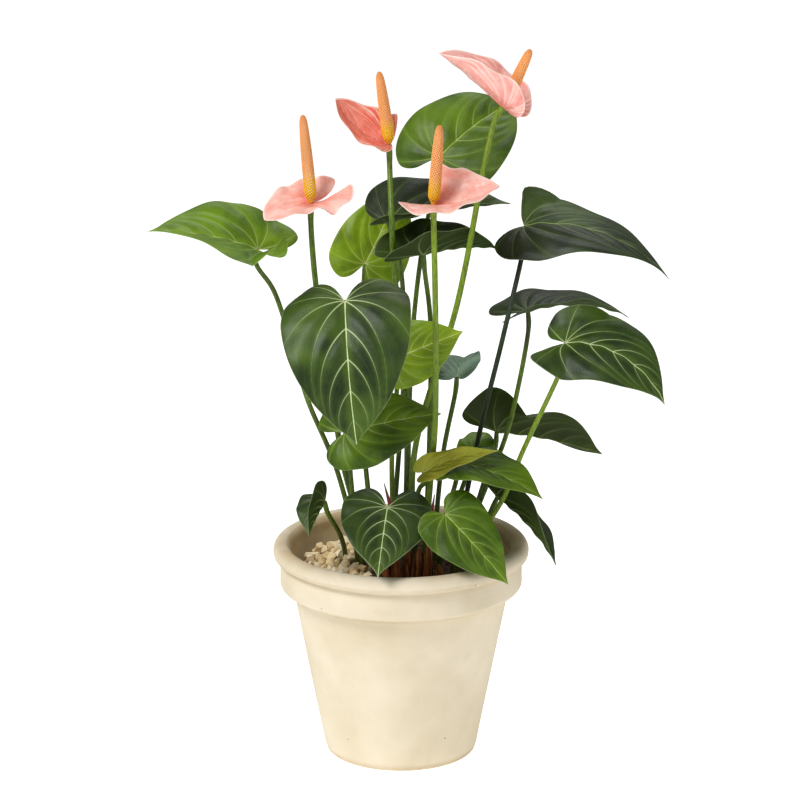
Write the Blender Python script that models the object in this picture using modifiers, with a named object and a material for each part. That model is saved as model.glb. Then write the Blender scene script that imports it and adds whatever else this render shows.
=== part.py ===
"""A potted anthurium: a tapered clay pot with potting soil and gravel, twenty heart-shaped leaves and four blooms.

Metres, +Z up. The origin is the middle of the pot's foot, and the plant's front looks along -Y.
Sizes below are in millimetres and degrees, and MM turns them into metres where a mesh is made.
"""

import math
from typing import NamedTuple

import bmesh
import bpy
import numpy as np
from mathutils import Matrix, Vector

MM = 0.001
CLEAR = 0.3  # gap kept between two pieces that touch on the real plant
OBJECT_NAME = "potted_anthurium"

# Pot
POT_HEIGHT = 197
POT_FOOT_RADIUS = 68
POT_FOOT_ROUND = 3
POT_NECK_RADIUS = 97.5
POT_NECK_HEIGHT = 155
COLLAR_RADIUS = 109
COLLAR_ROUND = 5
GROOVE_RADIUS = 108
GROOVE_HEIGHT = 184.5
LIP_RADIUS = 115
LIP_HALF_WIDTH = 8
LIP_HALF_HEIGHT = 8.5
MOUTH_RADIUS = 99
WALL = 9
FLOOR = 10
DRAIN_RADIUS = 5
DRAIN_RING = 34
DRAIN_COUNT = 3
ROUND_SIDES = 40

# Soil and gravel
SOIL_EDGE_HEIGHT = 168
SOIL_CROWN_HEIGHT = 174
HOLE_DEPTH = 22
HOLE_CLEAR = 0.5
BED_THICKNESS = 6
BED_RIGHT_END = -27
BED_GAP = 1.5  # between the bed and the pot's wall
CHIP_COUNT = 180  # places over the whole mouth, of which the bed's own are used
CHIP_SIZES = (7.5, 10.5)
CHIP_EDGE = 7.5
CHIP_SEED = 11
GOLDEN_ANGLE = 137.5

# Stalks
STALK_SIDES = 1  # bevel resolution: six sides
HEXAGON_REACH = 0.85  # a six-sided end's reach, as a share of its radius
STALK_RADIUS = 2.3
BLOOM_STALK_RADIUS = 2.7
KNEE_LENGTH = 13
FOOT_SWELL = 1.3
KNEE_SWELL = 1.1
TOP_TAPER = 0.85
STALK_STEP = 32

# Blades
BLADE_THICKNESS = 0.7
BLADE_RINGS = 3
HALF_WIDTH_SHARE = 0.42
LOBE_SHARE = 0.3
LOBE_START = 0.15
SPATHE_THICKNESS = 0.8

# Spadices
SPADIX_SIDES = 12
SPADIX_RINGS = 16
SPADIX_RADIUS = 5.2
SPADIX_FOOT = 0.2  # share of its radius where it meets the spathe
FLORET_RELIEF = 0.45

# Half outlines from the tip round a lobe to the notch at the joint, as shares of the midrib's length
# (along the midrib, across it)
LEAF_OUTLINE = (
    (1.0, 0.0),
    (0.93, 0.035),
    (0.82, 0.125),
    (0.62, 0.27),
    (0.36, 0.385),
    (0.1, 0.42),
    (-0.12, 0.39),
    (-0.25, 0.3),
    (-0.3, 0.185),
    (-0.23, 0.09),
    (-0.03, 0.018),
)
SPATHE_OUTLINE = (
    (1.0, 0.0),
    (0.975, 0.06),
    (0.89, 0.17),
    (0.66, 0.32),
    (0.36, 0.42),
    (0.1, 0.45),
    (-0.12, 0.42),
    (-0.26, 0.31),
    (-0.29, 0.16),
    (-0.2, 0.055),
    (-0.03, 0.02),
)


class Blade(NamedTuple):
    """How a leaf or a spathe hangs: where it starts and ends, where it faces, and how it bends."""

    joint: tuple  # where the stalk meets it
    tip: tuple
    facing: tuple  # rough direction of its upper face
    width: float = 1.0  # share of the outline's own width
    lobes: tuple = (1, 1)  # share of the outline's own lobes, left and right
    arch: float = 30  # bend of the midrib from joint to tip
    lift: float = 0  # bend upwards of the lobes, behind the joint
    fold: tuple = (12, 12)  # rise of the left and the right half from the midrib
    curl: tuple = (-25, -25)  # further bend of each half up to its margin
    lobe_curl: tuple = (0, 0)  # further bend of each lobe
    wave: float = 2.0  # height of the waves along the margin
    turns: float = 2.0  # waves from tip to lobe
    twist: float = 0
    bow: float = 0  # sideways bend of the midrib, to the left


class Leaf(NamedTuple):
    """A leaf: its stalk's place in the soil, the points that the stalk passes, its blade and its colour."""

    name: str
    root: tuple
    bends: tuple
    blade: Blade
    colour: str = "dark"


class Bloom(NamedTuple):
    """A bloom: its stalk, its coloured spathe and the tip of its spadix."""

    name: str
    root: tuple
    bends: tuple
    spathe: Blade
    spadix_tip: tuple
    spadix_radius: float = SPADIX_RADIUS


LEAVES = (
    Leaf("leaf_far_left", (-38, -12), ((-57, -15, 267), (-83, -25, 337), (-99, -28, 398), (-112, -31, 438)),
         Blade((-125, -34, 474), (-218, -60, 496), (0, -0.35, 0.93), width=1.1, lobes=(0.7, 1.3), arch=25,
               lift=20, fold=(8, 30), curl=(-10, -10), lobe_curl=(160, -30), twist=26), "mid"),
    Leaf("leaf_behind_top", (6, 36), ((8, 48, 318), (12, 60, 391), (22, 74, 466)),
         Blade((35, 85, 531), (103, 145, 566), (-0.1, -0.85, 0.5), width=1.15, lobes=(1.0, 0.35), arch=70,
               curl=(-45, -10)), "mid"),
    Leaf("leaf_shaded_top", (-8, 24), ((2, 26, 330), (3, 25, 394), (-1, 25, 448)),
         Blade((-11, 25, 484), (98, 35, 499), (0, -0.17, 0.98), lobes=(0.5, 0.5), fold=(30, 30), curl=(-5,
               0),
               arch=12), "dark"),
    Leaf("leaf_translucent", (-24, 18), ((-34, 40, 280), (-36, 55, 370)),
         Blade((-32, 65, 437), (2, 92, 504), (0.1, -0.95, 0.3), width=1.05, lobes=(0.85, 0.85), arch=15),
               "bright"),
    Leaf("leaf_centre_folded", (22, -6), ((26, 8, 310), (26, 12, 400)),
         Blade((20, 0, 461), (87, 38, 457), (0, -0.2, 0.98), lobes=(1.8, 1.8), arch=20, fold=(50, 55),
               curl=(-20, 10)), "dark"),
    Leaf("leaf_right_top", (50, 8), ((70, -12, 301), (90, -28, 395)),
         Blade((108, 0, 487), (234, -40, 448), (0.05, -0.05, 1), width=0.75, lobes=(0.1, 0.6), arch=60,
               fold=(26, -8),
               curl=(-20, -54), lobe_curl=(100, 10), twist=-28), "dark"),
    Leaf("leaf_right_middle", (57, 22), ((95, 24, 289), (105, 24, 332)),
         Blade((113, 20, 404), (205, 45, 392), (0, 0.05, 1), arch=40, fold=(24, 16), curl=(-25, 5)),
               "dark"),
    Leaf("leaf_right_heart", (48, -20), ((76, -42, 225), (92, -47, 254), (106, -39, 288)),
         Blade((143, -62, 397), (227, -105, 353), (0.25, -0.6, 0.75), width=0.92, lobes=(0.7, 0.4), arch=65,
               curl=(-25, -52), lobe_curl=(80, 75), bow=8), "dark"),
    Leaf("leaf_right_low", (60, 38), ((74, 50, 230),),
         Blade((87, 58, 281), (185, 70, 256), (0, 0.8, 0.6), width=1.1, lobes=(0.15, 1.25), arch=18,
               fold=(60, 14), curl=(10, -70), lobe_curl=(0, 120), twist=-40), "dark"),
    Leaf("leaf_front_heart", (-24, -8), ((-34, 2, 290), (-41, -2, 365), (-46, -50, 427)),
         Blade((-48, -88, 441), (-38, -112, 320), (-0.05, -0.95, 0.2), lobes=(0.6, 0.6), arch=85,
               lobe_curl=(-10, -40), wave=3.5), "dark"),
    Leaf("leaf_left_low", (-34, -24), ((-42, -34, 240),),
         Blade((-49, -46, 311), (36, -34, 325), (0, -0.72, 0.65), lobes=(0.9, 0.9), arch=20, lift=-40,
               curl=(-25, -45), lobe_curl=(-20, 0)), "mid"),
    Leaf("leaf_centre_bright", (-6, 4), ((-8, -4, 280),),
         Blade((-4, -28, 374), (55, -26, 398), (0, -0.92, 0.38), width=1.1, arch=20, curl=(-25, -50)),
               "bright"),
    Leaf("leaf_small_silver", (30, 14), ((38, 24, 270),),
         Blade((50, 20, 344), (58, 80, 345), (0, -0.05, 1), width=0.95, lobes=(0.6, 0.6), fold=(30, 38),
               curl=(-50, -10)), "silver"),
    Leaf("leaf_left_small", (-50, 4), ((-54, -14, 205),),
         Blade((-67, -57, 251), (-81, -82, 227), (-0.25, -0.8, 0.45), width=1.55, lobes=(0.7, 0.7),
               fold=(100, 0),
               curl=(0, -20)), "dark"),
    Leaf("leaf_front_low", (-14, -32), ((-13, -45, 215),),
         Blade((-12, -60, 246), (-20, -128, 205), (0, -0.5, 0.87), width=1.2, arch=15), "dark"),
    Leaf("leaf_front_bright", (34, -44), ((36, -54, 212),),
         Blade((39, -82, 247), (94, -105, 190), (0.1, -0.8, 0.6), width=0.9, lobes=(0.5, 0.5), arch=15),
               "mid"),
    Leaf("leaf_right_front", (62, -4), ((75, -12, 215),),
         Blade((86, -22, 244), (137, -75, 197), (0.55, -0.25, 0.8), width=0.85, lobes=(0.5, 0.5), arch=25,
               fold=(12, 40), curl=(-20, 60)), "dark"),
    Leaf("leaf_right_centre", (34, -26), ((42, -32, 235),),
         Blade((50, -40, 282), (124, -92, 264), (0.1, -0.25, 0.95), width=0.9, lobes=(0.25, 0.25), arch=25,
               fold=(15, 18), lobe_curl=(0, -70)), "mid"),
    Leaf("leaf_young_olive", (12, -22), ((13, -28, 235), (17, -37, 258)),
         Blade((20, -54, 277), (86, -64, 300), (0, -0.5, 0.85), width=0.42, lobes=(0.35, 0.35), fold=(60,
               10)), "olive"),
    Leaf("leaf_behind_round", (40, 32), ((52, 32, 225),),
         Blade((66, 34, 272), (79, 70, 277), (0, -0.5, 0.9)), "dark"),
)

BLOOMS = (
    Bloom("bloom_left", (-30, 1), ((-52, 0, 270), (-63, 4, 350), (-75, -14, 440)),
          Blade((-78, -22, 512), (-118, -48, 503), (0, -0.3, 0.95), width=1.15, lobes=(2.8, 2.4), arch=20,
                lift=25, fold=(10, 16), curl=(12, 20), lobe_curl=(-30, 0)), (-85, -20, 590)),
    Bloom("bloom_centre_left", (4, 8), ((5, 0, 330), (-6.5, -15, 459), (-8, -23, 500)),
          Blade((-10, 4, 559), (-57, 2, 600), (0.5, -0.55, 0.65), width=0.9, lobes=(0.3, 0.15), arch=-70,
                fold=(15, 35), curl=(20, 25)), (-19, -5, 625)),
    Bloom("bloom_top_right", (12, -10), ((12, -8, 280), (50, -3, 418), (74, -2, 547)),
          Blade((89, 0, 593), (33, 8, 639), (0.35, -0.45, 0.8), lobes=(0.7, 1.0), arch=10, fold=(36, 10),
                curl=(90, 20)), (112, -8, 645)),
    Bloom("bloom_centre", (20, -36), ((26, -38, 262), (30, -48, 320), (30, -60, 420)),
          Blade((28, -60, 519), (85, -58, 535), (-0.1, 0, 1), width=1.4, lobes=(0.1, 1.8), arch=-30,
                fold=(28, 14), curl=(66, -20), lobe_curl=(0, -10)), (33, -65, 590)),
)

# Pink sheaths of coming buds: place in the soil, then the points up to the tip
SHEATHS = (
    ("bud_sheath_left", (-4, -16), ((-8, -13, 225), (-15, -12, 254))),
    ("bud_sheath_right", (25, -17), ((26, -19, 215), (30, -20, 246))),
)
SHEATH_RADIUS = 2.8

# A clump of brown stalk bases left from older leaves: place, lean, height and radius of each
CROWN_CENTRE = (10, -58)
CROWN_SIZE = (27, 8)  # half its length and half its depth
CROWN_DEPTH = 8
CROWN_RISE = 6
CROWN_STALKS = (
    ((-12, -57), (-3, -3), 40, 4.2),
    ((-3, -60), (-1, -5), 34, 4.6),
    ((6, -56), (1, -2), 48, 4.4),
    ((14, -60), (0, -4), 38, 4.8),
    ((23, -57), (1, -3), 42, 4.2),
    ((31, -60), (3, -3), 24, 4.0),
)

COLOURS = {
    "clay": ((0.86, 0.76, 0.58), 0.85),
    "soil": ((0.05, 0.03, 0.02), 0.95),
    "gravel": ((0.82, 0.68, 0.44), 0.9),
    "bark": ((0.16, 0.06, 0.02), 0.8),
    "stalk": ((0.09, 0.17, 0.02), 0.5),
    "dark": ((0.012, 0.05, 0.012), 0.4),
    "mid": ((0.06, 0.2, 0.01), 0.4),
    "bright": ((0.2, 0.38, 0.01), 0.45),
    "olive": ((0.2, 0.24, 0.01), 0.45),
    "silver": ((0.2, 0.32, 0.24), 0.35),
    "salmon": ((0.9, 0.32, 0.27), 0.4),
    "orange": ((0.85, 0.38, 0.08), 0.6),
    "sheath": ((0.5, 0.04, 0.08), 0.5),
}


def clear_scene():
    for item in list(bpy.data.objects):
        bpy.data.objects.remove(item)


def material(name):
    """The finish of that name, made once."""
    if name in bpy.data.materials:
        return bpy.data.materials[name]
    colour, roughness = COLOURS[name]
    made = bpy.data.materials.new(name)
    made.use_nodes = True
    shader = made.node_tree.nodes["Principled BSDF"]
    shader.inputs["Base Color"].default_value = (*colour, 1)
    shader.inputs["Roughness"].default_value = roughness
    shader.inputs["Metallic"].default_value = 0
    return made


def add_object(name, data, collection, finish=None):
    made = bpy.data.objects.new(name, data)
    collection.objects.link(made)
    if finish:
        data.materials.append(material(finish))
    return made


def mesh_of(draft, name):
    mesh = bpy.data.meshes.new(name)
    draft.to_mesh(mesh)
    draft.free()
    return mesh


def baked(item):
    """A mesh copy of an object with its modifiers applied, in place of the object."""
    bpy.context.view_layer.update()
    evaluated = item.evaluated_get(bpy.context.evaluated_depsgraph_get())
    mesh = bpy.data.meshes.new_from_object(evaluated)
    draft = bmesh.new()
    draft.from_mesh(mesh)
    bmesh.ops.remove_doubles(draft, verts=draft.verts, dist=0.001 * MM)
    draft.transform(item.matrix_world)
    draft.to_mesh(mesh)
    draft.free()
    name = item.name
    collection = item.users_collection[0]
    bpy.data.objects.remove(item)
    made = bpy.data.objects.new(name, mesh)
    collection.objects.link(made)
    return made


def boolean(item, others, operation, solver="EXACT"):
    """Cuts a collection's objects from the item, or joins them to it, and removes them."""
    step = item.modifiers.new(operation.lower(), "BOOLEAN")
    step.operation = operation
    step.operand_type = "COLLECTION"
    step.collection = others
    step.solver = solver
    made = baked(item)
    for used in list(others.objects):
        bpy.data.objects.remove(used)
    return made


# Turned pieces


def turned(name, profile, collection, finish, sides=ROUND_SIDES):
    """A profile of (radius, height) points turned round the Z axis."""
    draft = bmesh.new()
    points = [draft.verts.new((radius * MM, 0, height * MM)) for radius, height in profile]
    for first, second in zip(points, points[1:]):
        draft.edges.new((first, second))
    made = add_object(name, mesh_of(draft, name), collection, finish)
    screw = made.modifiers.new("turn", "SCREW")
    screw.steps = sides
    screw.render_steps = sides
    screw.use_merge_vertices = True
    screw.merge_threshold = 0.01 * MM
    return made


def arc_points(centre, radii, start, end, count):
    """Points on an ellipse from one angle to another."""
    angles = np.radians(np.linspace(start, end, count))
    return [(centre[0] + radii[0] * math.cos(a), centre[1] + radii[1] * math.sin(a)) for a in angles]


def inner_radius(height):
    """Radius of the pot's inner wall at a height."""
    heights = (FLOOR, POT_NECK_HEIGHT, POT_HEIGHT - 2 * LIP_HALF_HEIGHT)
    radii = (POT_FOOT_RADIUS - WALL + 1, POT_NECK_RADIUS - WALL, MOUTH_RADIUS - 1)
    return float(np.interp(height, heights, radii))


def make_pot(collection, cutters):
    lip_height = POT_HEIGHT - LIP_HALF_HEIGHT
    inside_lip = LIP_RADIUS - MOUTH_RADIUS - LIP_HALF_WIDTH
    profile = [(0, FLOOR), (inner_radius(FLOOR), FLOOR)]
    profile += [(inner_radius(h), h) for h in (POT_NECK_HEIGHT, lip_height - LIP_HALF_HEIGHT)]
    profile += arc_points((LIP_RADIUS - LIP_HALF_WIDTH, lip_height), (inside_lip, LIP_HALF_HEIGHT), 180, 90, 4)
    profile += arc_points(
        (LIP_RADIUS - LIP_HALF_WIDTH, lip_height), (LIP_HALF_WIDTH, LIP_HALF_HEIGHT), 70, -30, 5)
    profile += [(GROOVE_RADIUS, GROOVE_HEIGHT), (COLLAR_RADIUS, GROOVE_HEIGHT - 3)]
    foot = POT_NECK_HEIGHT + COLLAR_ROUND
    profile += arc_points((COLLAR_RADIUS - COLLAR_ROUND, foot), (COLLAR_ROUND, COLLAR_ROUND), 0, -90, 3)
    profile += [(POT_NECK_RADIUS, POT_NECK_HEIGHT - 2)]
    profile += arc_points(
        (POT_FOOT_RADIUS - POT_FOOT_ROUND, POT_FOOT_ROUND), (POT_FOOT_ROUND, POT_FOOT_ROUND), 0, -90, 3)
    profile += [(0, 0)]
    pot = turned("pot", profile, collection, "clay")
    for index in range(DRAIN_COUNT):
        turn = 2 * math.pi * index / DRAIN_COUNT
        place = (DRAIN_RING * math.cos(turn), DRAIN_RING * math.sin(turn), FLOOR / 2)
        add_cylinder("drain", place, DRAIN_RADIUS, 2 * FLOOR, cutters, 12)
    made = boolean(pot, cutters, "DIFFERENCE")
    smooth(made)
    return made


def add_cylinder(name, centre, radius, height, collection, sides):
    draft = bmesh.new()
    bmesh.ops.create_cone(draft, cap_ends=True, segments=sides, radius1=radius * MM,
                          radius2=radius * MM, depth=height * MM)
    bmesh.ops.translate(draft, verts=draft.verts, vec=Vector(centre) * MM)
    made = add_object(name, mesh_of(draft, name), collection)
    made.hide_render = True
    made.display_type = "WIRE"
    return made


def smooth(item, angle=35):
    item.data.shade_smooth()
    item.data.set_sharp_from_angle(angle=math.radians(angle))


# Soil, gravel and crown


def soil_height(radius):
    """Height of the soil's surface at a distance from the pot's axis."""
    share = np.clip(radius / inner_radius(SOIL_EDGE_HEIGHT), 0, 1)
    return SOIL_CROWN_HEIGHT + (SOIL_EDGE_HEIGHT - SOIL_CROWN_HEIGHT) * share**2


def make_soil(collection, cutters, feet):
    edge = inner_radius(SOIL_EDGE_HEIGHT) - CLEAR
    profile = [(0, SOIL_CROWN_HEIGHT)]
    profile += [(radius, soil_height(radius)) for radius in (edge * 0.4, edge * 0.75)]
    profile += [(edge, SOIL_EDGE_HEIGHT), (inner_radius(POT_NECK_HEIGHT) - CLEAR, POT_NECK_HEIGHT)]
    profile += [(inner_radius(FLOOR) - CLEAR, FLOOR + CLEAR), (0, FLOOR + CLEAR)]
    soil = turned("potting_soil", profile, collection, "soil")
    for place, radius in feet:
        hole = (radius + HOLE_CLEAR) / math.cos(math.pi / 8)
        add_cylinder("hole", (*place, SOIL_CROWN_HEIGHT), hole, 2 * HOLE_DEPTH, cutters, 8)
    crown_foot("hole", cutters, HOLE_CLEAR, CROWN_DEPTH)
    return boolean(soil, cutters, "DIFFERENCE")


def chip(name, centre, size, generator, collection):
    """One angular stone: a coarse ball with its corners pushed in and out."""
    draft = bmesh.new()
    bmesh.ops.create_icosphere(draft, subdivisions=1, radius=size * MM / 2)
    stretch = Vector(generator.uniform(0.8, 1.25, 3))
    for corner in draft.verts:
        corner.co = Vector(a * b for a, b in zip(corner.co, stretch)) * generator.uniform(0.8, 1.15)
    draft.transform(Matrix.Rotation(generator.uniform(0, math.tau), 4, "Z"))
    draft.transform(Matrix.Rotation(generator.uniform(0, math.tau), 4, "X"))
    bmesh.ops.translate(draft, verts=draft.verts, vec=Vector(centre) * MM)
    return add_object(name, mesh_of(draft, name), collection)


def make_gravel(collection, others, feet):
    """A bed over the left of the pot's mouth with chips of stone standing out of it, open round each stalk."""
    generator = np.random.default_rng(CHIP_SEED)
    outer = inner_radius(SOIL_EDGE_HEIGHT) - BED_GAP
    rise = 2 * CLEAR + BED_THICKNESS
    rings = (0, outer / 2, outer)
    profile = [(radius, soil_height(radius) + rise) for radius in rings]
    profile += [(radius, soil_height(radius) + 2 * CLEAR) for radius in reversed(rings)]
    bed = turned("gravel", profile, collection, "gravel", ROUND_SIDES)
    side = 2 * LIP_RADIUS
    blank = bmesh.new()
    bmesh.ops.create_cube(blank, size=side * MM)
    bmesh.ops.translate(blank, verts=blank.verts, vec=Vector((BED_RIGHT_END + side / 2, 0, SOIL_EDGE_HEIGHT)) * MM)
    add_object("right_side", mesh_of(blank, "right_side"), others)
    bed = boolean(bed, others, "DIFFERENCE")
    for index in range(CHIP_COUNT):
        turn = math.radians(index * GOLDEN_ANGLE + generator.uniform(-2, 2))
        radius = (outer - CHIP_EDGE) * math.sqrt((index + 0.5) / CHIP_COUNT)
        x, y = radius * math.cos(turn), radius * math.sin(turn)
        size = generator.uniform(*CHIP_SIZES)
        height = soil_height(radius) + rise + generator.uniform(-1.5, 0.5)
        if x < BED_RIGHT_END - 1:
            chip("chip", (x, y, height), size, generator, others)
    heap = boolean(bed, others, "UNION", "MANIFOLD")
    for place, radius in feet:
        add_cylinder("hole", (*place, SOIL_CROWN_HEIGHT), radius + BED_GAP, 2 * HOLE_DEPTH, others, 8)
    made = boolean(heap, others, "DIFFERENCE", "MANIFOLD")
    made.data.materials.clear()
    made.data.materials.append(material("gravel"))
    return made


def crown_foot(name, collection, clearance, depth, sides=20):
    """The oval foot of the crown, or the cutter for the hole that it stands in."""
    height = depth + CROWN_RISE
    centre = (0, 0, soil_height(math.hypot(*CROWN_CENTRE)) - depth + height / 2)
    foot = add_cylinder(name, centre, 1, height, collection, sides)
    size = (CROWN_SIZE[0] + clearance, CROWN_SIZE[1] + clearance)
    foot.data.transform(Matrix.Diagonal((*size, 1, 1)))
    foot.data.transform(Matrix.Translation(Vector((*CROWN_CENTRE, 0)) * MM))
    return foot


def make_crown(collection, others):
    """Brown stalk bases in one clump, whose foot stands in the soil."""
    crown = crown_foot("crown", collection, 0, CROWN_DEPTH - CLEAR)
    ground = soil_height(math.hypot(*CROWN_CENTRE))
    for (x, y), (lean_x, lean_y), height, radius in CROWN_STALKS:
        share = np.array([0, 0.5, 1])[:, None]
        path = np.array([x, y, ground + 1]) + share * np.array([lean_x, lean_y, height - 1])
        base = tube("base", path, (radius, 0.9 * radius, 0.6 * radius), others, "bark")
        baked(base)
    made = boolean(crown, others, "UNION", "MANIFOLD")
    made.data.materials.clear()
    made.data.materials.append(material("bark"))
    return made


def make_sheath(name, root, points, collection):
    """A slim pointed sheath that stands in its hole in the soil."""
    path = smooth_path([*ground_points(root), *points], 12)
    radii = SHEATH_RADIUS * np.interp(np.linspace(0, 1, len(path)), (0, 0.5, 0.8, 1), (1, 1, 0.7, 0.2))
    return tube(name, path, radii, collection, "sheath")


# Stalks


def smooth_path(points, step=STALK_STEP):
    """Points along a smooth curve that passes through the given ones."""
    points = np.array(points, float)
    before = 2 * points[0] - points[1]
    after = 2 * points[-1] - points[-2]
    ends = np.vstack([before, points, after])
    path = [points[0]]
    for a, b, c, d in zip(ends, ends[1:], ends[2:], ends[3:]):
        knots = np.cumsum([0] + [max(np.linalg.norm(q - p), 1e-6) ** 0.5 for p, q in ((a, b), (b, c), (c, d))])
        steps = max(1, round(float(np.linalg.norm(c - b)) / step))
        for index in range(1, steps + 1):
            t = knots[1] + (knots[2] - knots[1]) * index / steps
            ab = (knots[1] - t) / (knots[1] - knots[0]) * a + (t - knots[0]) / (knots[1] - knots[0]) * b
            bc = (knots[2] - t) / (knots[2] - knots[1]) * b + (t - knots[1]) / (knots[2] - knots[1]) * c
            cd = (knots[3] - t) / (knots[3] - knots[2]) * c + (t - knots[2]) / (knots[3] - knots[2]) * d
            abc = (knots[2] - t) / (knots[2] - knots[0]) * ab + (t - knots[0]) / (knots[2] - knots[0]) * bc
            bcd = (knots[3] - t) / (knots[3] - knots[1]) * bc + (t - knots[1]) / (knots[3] - knots[1]) * cd
            path.append((knots[2] - t) / (knots[2] - knots[1]) * abc + (t - knots[1]) / (knots[2] - knots[1]) * bcd)
    return np.array(path)


def ground_points(root):
    """The upright foot of a stalk, from just above the floor of its hole to just above the soil."""
    return [(*root, height) for height in (SOIL_CROWN_HEIGHT - HOLE_DEPTH + CLEAR, SOIL_CROWN_HEIGHT + 6)]


def tube(name, path, radii, collection, finish, sides=STALK_SIDES):
    """A round stalk along a path, with its own radius at each point."""
    curve = bpy.data.curves.new(name, "CURVE")
    curve.dimensions = "3D"
    curve.bevel_depth = MM
    curve.bevel_resolution = sides
    curve.use_fill_caps = True
    spline = curve.splines.new("POLY")
    spline.points.add(len(path) - 1)
    for point, place, radius in zip(spline.points, path, radii):
        point.co = (*(place * MM), 1)
        point.radius = radius
    return add_object(name, curve, collection, finish)


def tilt_between(first, second):
    """Sine of the angle between two directions."""
    turn = np.linalg.norm(np.cross(first, second))
    return float(turn / np.linalg.norm(first) / np.linalg.norm(second))


def stalk(name, root, bends, blade, radius, thickness, collection):
    """A stalk from its hole in the soil to the underside of its blade."""
    joint, upwards, slope = joint_of(blade)
    coming = joint - np.array(bends[-1], float)
    approach = upwards + coming / np.linalg.norm(coming)
    approach /= np.linalg.norm(approach)
    end = radius * TOP_TAPER
    drop = thickness / 2 + CLEAR + end * (slope + HEXAGON_REACH * tilt_between(approach, upwards))
    top = joint - upwards * drop
    knee = top - approach * KNEE_LENGTH
    path = smooth_path([*ground_points(root), *bends, knee, top])
    share = np.linspace(0, 1, len(path))
    radii = radius * np.interp(share, (0, 0.25, 0.9, 1), (FOOT_SWELL, 1, KNEE_SWELL * TOP_TAPER, TOP_TAPER))
    return tube(name, path, radii, collection, "stalk")


# Blades


def arc_offset(start, bend, distance):
    """How far a line that starts at an angle and bends evenly has gone forward and up, and its angle there."""
    half = bend * distance / 2
    chord = distance * np.sinc(half / math.pi)
    return chord * np.cos(start + half), chord * np.sin(start + half), start + bend * distance


def blade_axes(blade):
    """Joint, length to the tip, and unit directions along the midrib, out of the upper face and to the left."""
    joint = np.array(blade.joint, float)
    along = np.array(blade.tip, float) - joint
    length = float(np.linalg.norm(along))
    along /= length
    up = np.array(blade.facing, float)
    up -= up.dot(along) * along
    up /= np.linalg.norm(up)
    return joint, length, along, up, np.cross(up, along)


def joint_of(blade):
    """The joint, the upper face's direction there, and how steeply the first ring's halves fall from it."""
    joint, _, along, up, _ = blade_axes(blade)
    rise = math.radians(blade.arch) / 2
    upwards = math.cos(rise) * up - math.sin(rise) * along
    falls = [-(fold + curl / (2 * BLADE_RINGS)) for fold, curl in zip(blade.fold, blade.curl)]
    slope = math.tan(math.radians(max(0, *falls)))
    return joint, upwards, slope


def blade_points(blade, x, y):
    """Places on a blade's middle surface, for shares of the midrib's length along it (x) and to its left (y)."""
    joint, length, along, up, left = blade_axes(blade)
    arch = math.radians(blade.arch)
    full = length * (arch / 2) / math.sin(arch / 2) if arch else length
    lobe_bend = arch - math.radians(blade.lift) / LOBE_SHARE
    bend = np.where(x < 0, -lobe_bend, -arch) / full
    forward, height, angle = arc_offset(arch / 2, bend, x * full)
    side = np.where(y < 0, 1, 0)
    lobe = np.clip((LOBE_START - x) / LOBE_SHARE, 0, 1)
    across = np.abs(y) * full
    half_width = HALF_WIDTH_SHARE * full * blade.width
    fold = np.radians(np.take(blade.fold, side))
    curl = np.radians(np.take(blade.curl, side) + np.take(blade.lobe_curl, side) * lobe) / half_width
    out, rise, _ = arc_offset(fold, curl, across)
    margin = (across / half_width) ** 2
    wave = blade.wave * margin * np.sin(math.tau * blade.turns * x + 2.2 * side)
    twist = math.radians(blade.twist) * x
    above = np.cos(angle)[..., None] * up - np.sin(angle)[..., None] * along
    lean_left = np.cos(twist)[..., None] * left + np.sin(twist)[..., None] * above
    lean_up = np.cos(twist)[..., None] * above - np.sin(twist)[..., None] * left
    spine = joint + forward[..., None] * along + height[..., None] * up
    spine = spine + (blade.bow * 4 * x * (1 - x))[..., None] * left
    sideways = np.where(y < 0, -out, out)
    return spine + sideways[..., None] * lean_left + (rise + wave)[..., None] * lean_up


def outline_point(outline, share, blade):
    """A point of the whole outline, from the right lobe's notch (0) over the tip (0.5) to the left one's (1)."""
    place = abs(2 * share - 1) * (len(outline) - 1)
    index = round(place)
    x, y = outline[index]
    if x < 0:
        x *= blade.lobes[0 if share > 0.5 else 1]
    return x, math.copysign(y * blade.width, share - 0.5)


def make_blade(name, blade, outline, thickness, collection, finish):
    """A thin blade: rays from the joint to the outline, bent to shape and given its thickness."""
    rays = 2 * (len(outline) - 1)
    draft = bmesh.new()
    bmesh.ops.create_grid(draft, x_segments=rays, y_segments=BLADE_RINGS, size=0.5)
    for corner in draft.verts:
        x, y = outline_point(outline, round((corner.co.x + 0.5) * rays) / rays, blade)
        ring = corner.co.y + 0.5
        corner.co = Vector(blade_points(blade, np.array(x * ring), np.array(y * ring))) * MM
    bmesh.ops.remove_doubles(draft, verts=draft.verts, dist=0.01 * MM)
    bmesh.ops.triangulate(draft, faces=draft.faces)
    made = add_object(name, mesh_of(draft, name), collection, finish)
    shell = made.modifiers.new("thickness", "SOLIDIFY")
    shell.thickness = thickness * MM
    shell.offset = 0
    smooth(made, 60)
    return made


# Blooms


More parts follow.
